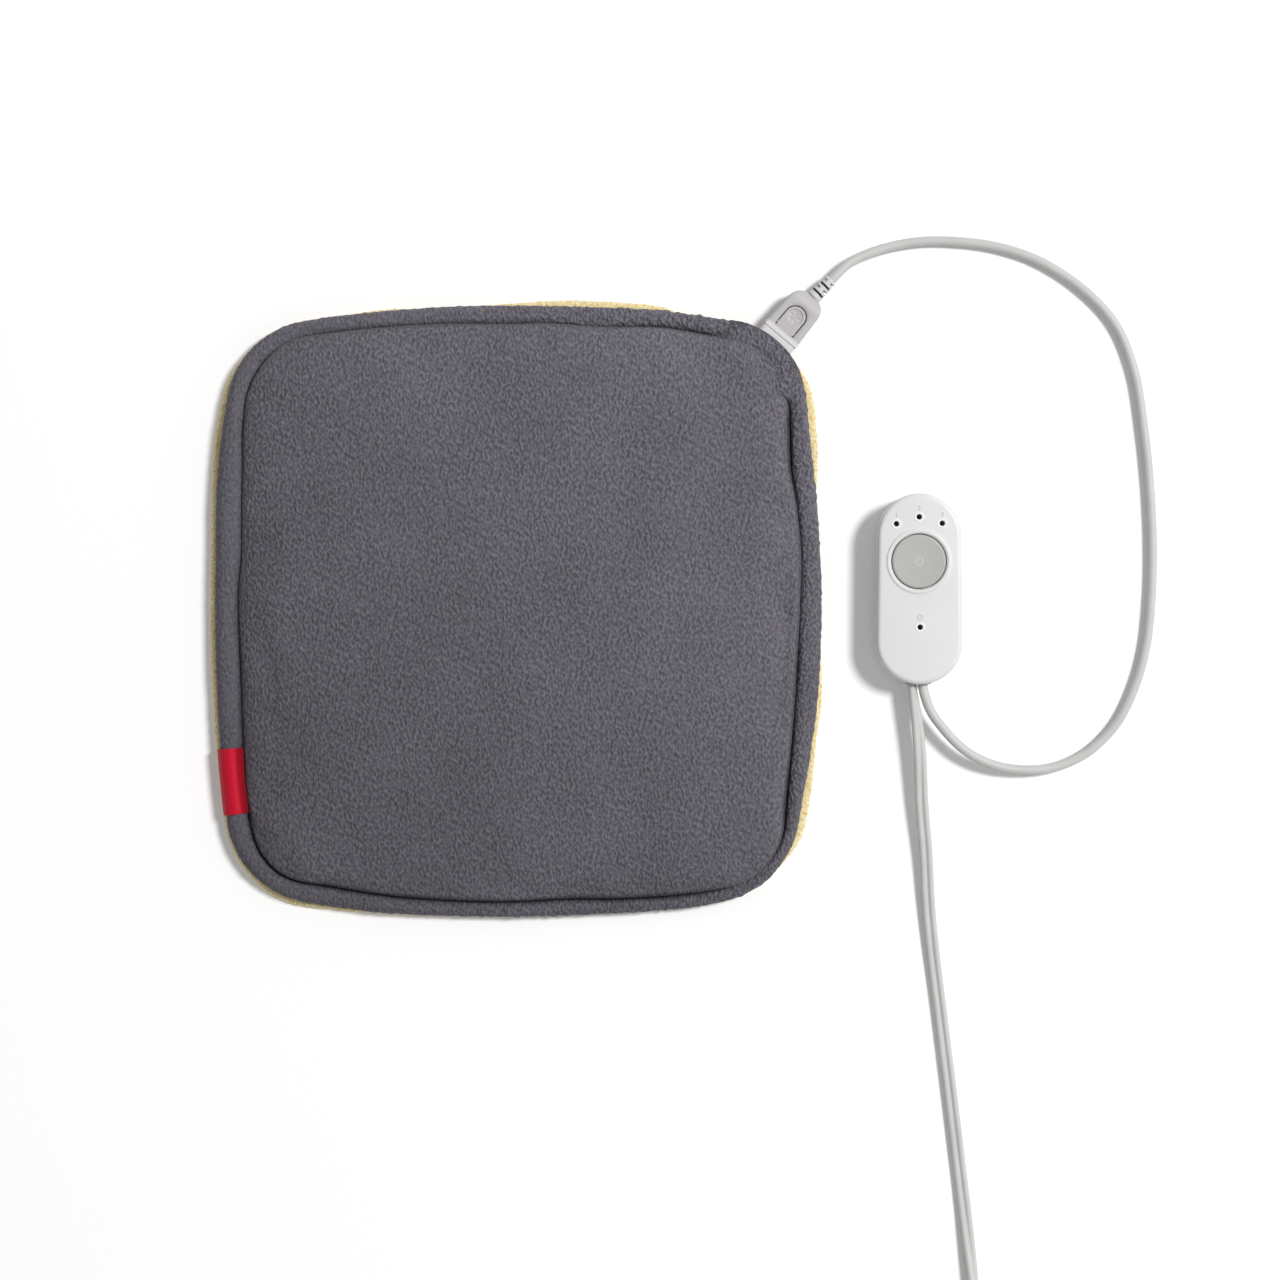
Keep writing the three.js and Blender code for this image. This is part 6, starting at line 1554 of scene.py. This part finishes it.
def latch_tongue():
    """Tongue with a thumb dimple, and the arm with its two wings that reaches into the socket.

    The dimple is part of an ellipse in section with a low rosette, its rings are circles, and the rings
    outside it widen from that circle to the tongue's outline.
    """
    angles = full_turn(160, -math.pi)
    middle = np.array([TONGUE_END, 0.0])
    ray = rays(angles)
    low = TONGUE_Z - TONGUE_THICK

    def ring(grow, z):
        return at_height(on_rays(tongue_outline(grow), middle, angles), z)

    rings = [ring(-0.2, low), ring(0, low + 0.2)]
    for trim, drop in edge_arc(6)[::-1]:
        rings.append(ring(-TONGUE_EDGE * trim, TONGUE_Z - TONGUE_EDGE * drop))
    outer = on_rays(tongue_outline(-TONGUE_EDGE), middle, angles)
    rim = middle + (DIMPLE_RADIUS + 0.25) * ray
    rings += [at_height(outer + (rim - outer) * share, TONGUE_Z) for share in (0.4, 0.8, 1)]
    rings.append(at_height(middle + (DIMPLE_RADIUS + 0.05) * ray, TONGUE_Z - DIMPLE_STEP))
    for share in np.linspace(0.97, 0.1, 14):
        depth = DIMPLE_STEP + (DIMPLE_DEPTH - DIMPLE_STEP) * math.sqrt(1 - share ** 2)
        petals = ROSETTE_DEPTH * np.cos(6 * angles) * math.sin(math.pi * share) ** 2
        rings.append(at_height(middle + DIMPLE_RADIUS * share * ray, TONGUE_Z - depth + petals))
    ends = from_connector([[*middle, low], [*middle, TONGUE_Z - DIMPLE_DEPTH]])
    tongue = lofted(from_connector(rings), *ends)
    arm = bar_skin([-3.5, -3.3, 6, 7.7], [2.9, 3.1, 3.1, 3.1], ARM_LOW, ARM_HIGH)
    wings = bar_skin([-3.5, -3.3, -1.9, -1.7], [7.3, 7.6, 7.6, 7.3], ARM_LOW, ARM_HIGH)
    neck = bar_skin([6.3, 6.5, 7.5, 7.7], [3, 3.1, 3.1, 3], ARM_LOW, low + 0.2)
    stubs = []
    for y, radius in ((-6.1, 0.4), (-5.9, 0.55), (5.9, 0.55), (6.1, 0.4)):
        round_end = circle(radius, 24)
        stubs.append(np.column_stack([PIVOT_X + round_end[:, 0], np.full(24, y), PIVOT_Z + round_end[:, 1]]))
    skin = joined(tongue, arm, wings, neck, lofted(from_connector(stubs)))
    make("latch_tongue", skin, PLUG_GREY, "latch", ["plug_latch"], "plug_plastic", 45)


def bar_skin(along, half_width, low, high):
    """Bar along the pull with rounded edges, of changing half widths."""
    half = (high - low) / 2
    rings = section_rings(along, half_width, half, min(0.25, ROUND_SHARE * half), 32)
    rings[..., 2] += (low + high) / 2
    return lofted(from_connector(rings))


BOOT_SHOWS = 4.4
BOOT_ROOT_RADIUS = 3.9
BOOT_TIP_RADIUS = 3.1
BOOT_BAR = 1.3
BOOT_SLOT = 1.2
BOOT_SLOTS = 4
BOOT_PITCH = 2.5
BOOT_FIRST = 2.6
BOOT_EDGE = 0.6


def slotted_boot():
    """Slotted boot: rings along its axis whose radius tapers, cut in by slots turned a quarter each time.

    In a slot the radius is the least of the boot's and the bar's half width over the sine of the angle.
    Where the slots cut in, the boot is painted dark as shade.
    """
    angle = full_turn(96)
    length = BOOT_TIP - BOOT_SHOWS
    near = BOOT_FIRST + BOOT_PITCH * np.arange(BOOT_SLOTS)
    along = np.sort(np.concatenate([
        [0, 0.3], np.linspace(BOOT_EDGE, length - BOOT_EDGE, 40), [length - 0.25, length],
        near, near + 0.02, near + BOOT_SLOT - 0.02, near + BOOT_SLOT,
    ]))
    radius = BOOT_ROOT_RADIUS + (BOOT_TIP_RADIUS - BOOT_ROOT_RADIUS) * along / length
    for from_end in (along, length - along):
        radius = radius - 0.5 * np.clip(1 - from_end / BOOT_EDGE, 0, 1) ** 2
    radius = radius[:, None]
    place = (along - BOOT_FIRST) / BOOT_PITCH
    slot = np.floor(place)
    within = (place - slot) * BOOT_PITCH
    cut = (slot >= 0) & (slot < BOOT_SLOTS) & (within > 0.01) & (within < BOOT_SLOT - 0.01)
    side = np.where((slot % 2 == 0)[:, None], np.abs(np.sin(angle)), np.abs(np.cos(angle)))
    bar = np.minimum(radius, BOOT_BAR / np.maximum(side, 0.05))
    reach = np.where(cut[:, None], bar, radius)
    x = (BOOT_SHOWS + along)[:, None]
    across = reach * np.cos(angle)
    cosine, sine = math.cos(BOOT_YAW), math.sin(BOOT_YAW)
    local = np.stack([
        BOOT_ROOT_X + x * cosine - across * sine, x * sine + across * cosine,
        CONTACT_Z + reach * np.sin(angle),
    ], -1)
    # Painted shade: where the slots cut in, the boot takes its dark second colour
    painted_slot_shade = np.concatenate([(reach < radius - 0.05).ravel(), [0, 0]])
    skin = lofted(from_connector(local))
    nodes = ["plug_strain_relief"]
    make("slotted_boot", skin, BOOT_GREY, "control_set", nodes, "plug_plastic", 40, other=painted_slot_shade)


# Controller

CONTROLLER = np.array([200.5, 9.7])
CASE_HALF_WIDTH = 21.2
CASE_TAPER = 0.012
CASE_HALF_LENGTH = 47.5
CASE_HIGH = 19.5
CASE_WALL = 2
CASE_PARTING = 8.75
CASE_EDGE = 2.4
CASE_CROWN = 0.6
BUTTON = CONTROLLER + np.array([-0.45, 13.6])
BUTTON_RADIUS = 13.4
BUTTON_HOLE = 13.85
COLLAR_RADIUS = 16.4
COLLAR_RISE = 0.5
BUTTON_TOP = 19.7
BUTTON_DISH = 0.4
BUTTON_SHOULDER = 0.9
LAMPS = {
    "led_low": (-11.6, 32.25), "led_medium": (-0.35, 35.7), "led_high": (11.05, 32.5),
    "led_timer": (0.1, -19.1),
}
LAMP_RADIUS = 1.45
LAMP_DOME = 0.4
FIGURE_DEPTH = 0.04


def case_outline(inset):
    """Long round-ended plan of the controller, a little wider towards its lower end."""
    half = CASE_HALF_WIDTH - inset
    plan = rectangle(half, CASE_HALF_LENGTH - inset, half - 0.01, 1440)
    plan[:, 0] *= 1 - CASE_TAPER * plan[:, 1] / CASE_HALF_WIDTH
    return CONTROLLER + plan


def face_height(plan):
    """Height of the case's face, which falls away to both sides by the square of the way from its middle."""
    return CASE_HIGH - CASE_CROWN * ((plan[..., 0] - CONTROLLER[0]) / CASE_HALF_WIDTH) ** 2


def case_top():
    """Upper case as one shell: button hole, raised collar, face, round edge, wall, parting lip, and inside.

    Its rings lie on rays from the button's middle and change from circles to the case's outline.
    """
    angles = full_turn(320, -math.pi)
    ray = rays(angles)
    ceiling = CASE_HIGH - CASE_WALL

    def ring(inset, z):
        return at_height(on_rays(case_outline(inset), BUTTON, angles), z)

    rings = [at_height(BUTTON + BUTTON_HOLE * ray, z) for z in (ceiling, CASE_HIGH - 0.4)]
    for share in np.linspace(0, 1, 18):
        plan = BUTTON + (BUTTON_HOLE + 0.1 + (COLLAR_RADIUS - BUTTON_HOLE - 0.1) * share) * ray
        rise = COLLAR_RISE * smooth_step(share / 0.3) * smooth_step((1 - share) / 0.35)
        rings.append(at_height(plan, face_height(plan) + rise))
    inner = BUTTON + COLLAR_RADIUS * ray
    outer = on_rays(case_outline(CASE_EDGE), BUTTON, angles)
    for share in np.linspace(0, 1, 24)[1:-1]:
        plan = inner + (outer - inner) * share
        rings.append(at_height(plan, face_height(plan)))
    edge = face_height(outer)
    rings += [ring(CASE_EDGE * trim, edge - CASE_EDGE * drop) for trim, drop in edge_arc(12)]
    rings += [ring(0, z) for z in (14, 11, CASE_PARTING + 0.3)]
    rings += [ring(0.3, CASE_PARTING), ring(CASE_WALL, CASE_PARTING), ring(CASE_WALL, ceiling - 1.5)]
    rings.append(ring(CASE_WALL + 1.5, ceiling))
    skin = looped(rings)
    make("case_top", skin, SHELL_WHITE, "control_set", ["controller_shell_top"], "shell_plastic", 60)


def button_skin():
    """Button turned on a lathe: stem, flange, straight side, round shoulder and a shallow dish on top."""
    profile = [(2.3, 15.1), (2.5, 15.3), (2.5, 16.2), (14.4, 16.2), (14.6, 16.4), (14.6, 17), (14.4, 17.2)]
    profile += [(BUTTON_RADIUS, 17.2), (BUTTON_RADIUS, 18)]
    for trim, drop in edge_arc(8)[::-1]:
        profile.append((BUTTON_RADIUS - BUTTON_SHOULDER * trim, BUTTON_TOP - BUTTON_SHOULDER * drop))
    rim = BUTTON_RADIUS - BUTTON_SHOULDER
    profile += [(rim * share, dish_height(rim * share)) for share in np.linspace(0.96, 0.04, 26)]
    return turned(profile, BUTTON, 192)


def dish_height(radius):
    """Height of the button's dish: lowest in the middle, by the square of the radius."""
    return BUTTON_TOP - BUTTON_DISH * (1 - (radius / (BUTTON_RADIUS - BUTTON_SHOULDER)) ** 2)


def power_mark():
    """Plain power sign: an open ring and a bar, each a thin flat section carried along its line."""
    section = rectangle(0.22, 0.06, 0.05, 12)
    ring = BUTTON + 1.9 * rays(np.linspace(math.radians(125), math.radians(415), 72))
    bar = BUTTON + np.linspace([0, 2.5], [0, 0.3], 12)
    skins = []
    for line in (ring, bar):
        radius = np.linalg.norm(line - BUTTON, axis=1)
        skins.append(lofted(carried(at_height(line, dish_height(radius) + 0.03), section)))
    return joined(*skins)


def clock_mark(middle):
    """Plain clock sign for the timer's lamp: a ring and two hands, each a thin flat section on its line."""
    section = rectangle(0.17, 0.05, 0.04, 12)
    lines = [1.4 * rays(np.linspace(0, 2 * np.pi, 49))]
    lines += [np.linspace([0, 0], tip, 6) for tip in ([0, 0.95], [0.65, 0])]
    top = face_height(middle) + 0.02
    return joined(*[lofted(carried(at_height(middle + line, top), section)) for line in lines])


def lamp_skin(place):
    """Small lens: a round stem with a low dome."""
    base = face_height(place) + 0.25 - LAMP_DOME
    profile = [(0.9, 17.2), (LAMP_RADIUS, 17.4), (LAMP_RADIUS, base)]
    for trim, drop in edge_arc(8)[1:-1]:
        profile.append((LAMP_RADIUS * (1 - drop), base + LAMP_DOME * (1 - trim)))
    return turned(profile, place, 40)


def lamp_ring(place):
    """Raised rim round a lens: an ellipse turned about it."""
    profile = circle(1, 16) * [0.42, 0.16] + [LAMP_RADIUS + 0.62, face_height(place)]
    return looped([at_height(place + circle(radius, 48), z) for radius, z in profile])


def numeral(text, place, size):
    """Figure as a thin mesh standing a little proud of the case."""
    words = bpy.data.curves.new("figure_" + text, "FONT")
    words.body = text
    words.size = size * MM
    words.extrude = FIGURE_DEPTH * MM
    words.align_x = "CENTER"
    holder = linked("figure_" + text, words)
    mesh = bpy.data.meshes.new_from_object(holder.evaluated_get(bpy.context.evaluated_depsgraph_get()))
    bpy.data.objects.remove(holder)
    bpy.data.curves.remove(words)
    moved = places_of(mesh) + np.array([*place, face_height(place) + 0.05]) * MM
    mesh.vertices.foreach_set("co", moved.astype(np.float32).ravel())
    mesh.update()
    return mesh


def controller_pieces():
    """Case, button with its mark, lenses with their rims, and plain figures for the three heat steps."""
    case_top()
    make("button_cap", button_skin(), BUTTON_GREY, "button", ["power_button"], "button_plastic", 60)
    make("power_sign", power_mark(), MARK_PALE, "button", [], "button_plastic", 50)
    for number, (node, place) in enumerate(LAMPS.items()):
        where = CONTROLLER + np.array(place)
        make("lens_" + node[4:], lamp_skin(where), LAMP_DARK, "control_set", [node], "lamp_lens", 60)
        make("rim_" + node[4:], lamp_ring(where), RIM_WHITE, "control_set", [], "shell_plastic")
        if number < 3:
            mesh = numeral(str(number + 1), where + np.array([0, 3.3]), 3.2)
            set_out("figure_" + str(number + 1), mesh, MARK_GREY, "control_set", [])
    clock = clock_mark(CONTROLLER + np.array(LAMPS["led_timer"]) + np.array([0, 4.6]))
    make("clock_sign", clock, MARK_GREY, "control_set", [], "button_plastic", 50)


# CAD nodes that keep their shape

KEPT_FINISHES = {
    "heating_wire": HEAT_CORD, "thermostat_start": CUTOUT_CASE, "thermostat_end": CUTOUT_CASE,
    "feed_wire_start": FEED_WIRE, "feed_wire_end": FEED_WIRE, "plug_insert": CARRIER_DARK,
    "controller_shell_bottom": SHELL_WHITE, "circuit_board": BOARD, "switch_body": CHIP_CASE,
    "switch_plunger": BUTTON_GREY, "triac": CHIP_CASE, "capacitor": CAPACITOR_CASE, "fuse": CUTOUT_CASE,
    "microcontroller": CHIP_CASE, "cord_grommet": GROMMET_GREY,
}
for number in range(1, 5):
    KEPT_FINISHES["socket_pin_" + str(number)] = CONTACT
    KEPT_FINISHES["plug_contact_" + str(number)] = CONTACT
    KEPT_FINISHES["shell_screw_" + str(number)] = PLATED


def dress_kept_nodes():
    """Gives each CAD node that stays its finish."""
    for node, finish in KEPT_FINISHES.items():
        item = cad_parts[node]
        if item.material_slots:
            for slot in item.material_slots:
                slot.material = finish
        else:
            item.data.materials.append(finish)


# Floor, light and surroundings

KEY_DIRECTION = np.array([0.7, 0.3, 1.0])
KEY_DISTANCE = 8
KEY_SIZE = 1.75
KEY_POWER = 524
FILL = 0.38
FLOOR_COLOUR = 0.97
FLOOR_GLOW = 0.03
FLOOR_HALF = 9.0
FLOOR_DROP = 0.2


def seen_directly(tree):
    """One where a ray comes from the camera, a mirror-like or a clear surface, and zero elsewhere."""
    path = tree.nodes.new("ShaderNodeLightPath")
    seen = path.outputs["Is Camera Ray"]
    for kind in ("Is Glossy Ray", "Is Transmission Ray"):
        either = tree.nodes.new("ShaderNodeMath")
        either.operation = "MAXIMUM"
        tree.links.new(seen, either.inputs[0])
        tree.links.new(path.outputs[kind], either.inputs[1])
        seen = either.outputs[0]
    return seen


def set_floor():
    """Wide white floor that keeps the shadows and glows slightly to the camera."""
    mesh = bpy.data.meshes.new("floor")
    ways = [(-1, -1), (1, -1), (1, 1), (-1, 1)]
    corners = [(x * FLOOR_HALF, y * FLOOR_HALF, -FLOOR_DROP * MM) for x, y in ways]
    mesh.from_pydata(corners, [], [(0, 1, 2, 3)])
    white = Finish("floor_white", "#ffffff", 0.9, specular_ior_level=0.0, emission_color=(1, 1, 1, 1))
    white.set("Base Color", (FLOOR_COLOUR, FLOOR_COLOUR, FLOOR_COLOUR, 1))
    white.set("Emission Strength", white.math("MULTIPLY", seen_directly(white.tree), FLOOR_GLOW))
    mesh.materials.append(white.material)
    linked("floor", mesh)


def set_light():
    """One soft lamp from the right and a little from the top, and an even white surround."""
    lamp = bpy.data.lights.new("key", "AREA")
    lamp.shape = "DISK"
    lamp.size = KEY_SIZE
    lamp.energy = KEY_POWER
    holder = linked("key", lamp)
    direction = unit(KEY_DIRECTION)
    holder.location = np.array([*PICTURE_MIDDLE, 0]) * MM + direction * KEY_DISTANCE
    holder.rotation_euler = (0, math.acos(direction[2]), math.atan2(direction[1], direction[0]))

    world = bpy.data.worlds.new("surround")
    scene.world = world
    world.use_nodes = True
    tree = world.node_tree
    background = tree.nodes["Background"]
    background.inputs["Color"].default_value = (1, 1, 1, 1)
    strength = tree.nodes.new("ShaderNodeMapRange")
    strength.inputs["To Min"].default_value = FILL
    strength.inputs["To Max"].default_value = 1.0
    tree.links.new(seen_directly(tree), strength.inputs["Value"])
    tree.links.new(strength.outputs[0], background.inputs["Strength"])


set_camera()
lay_leads()
fleece_front()
plush_back()
side_tag()
felt_sheets()
wadding()
socket_body()
plug_shells()
latch_tongue()
slotted_boot()
controller_pieces()
dress_kept_nodes()
set_floor()
set_light()
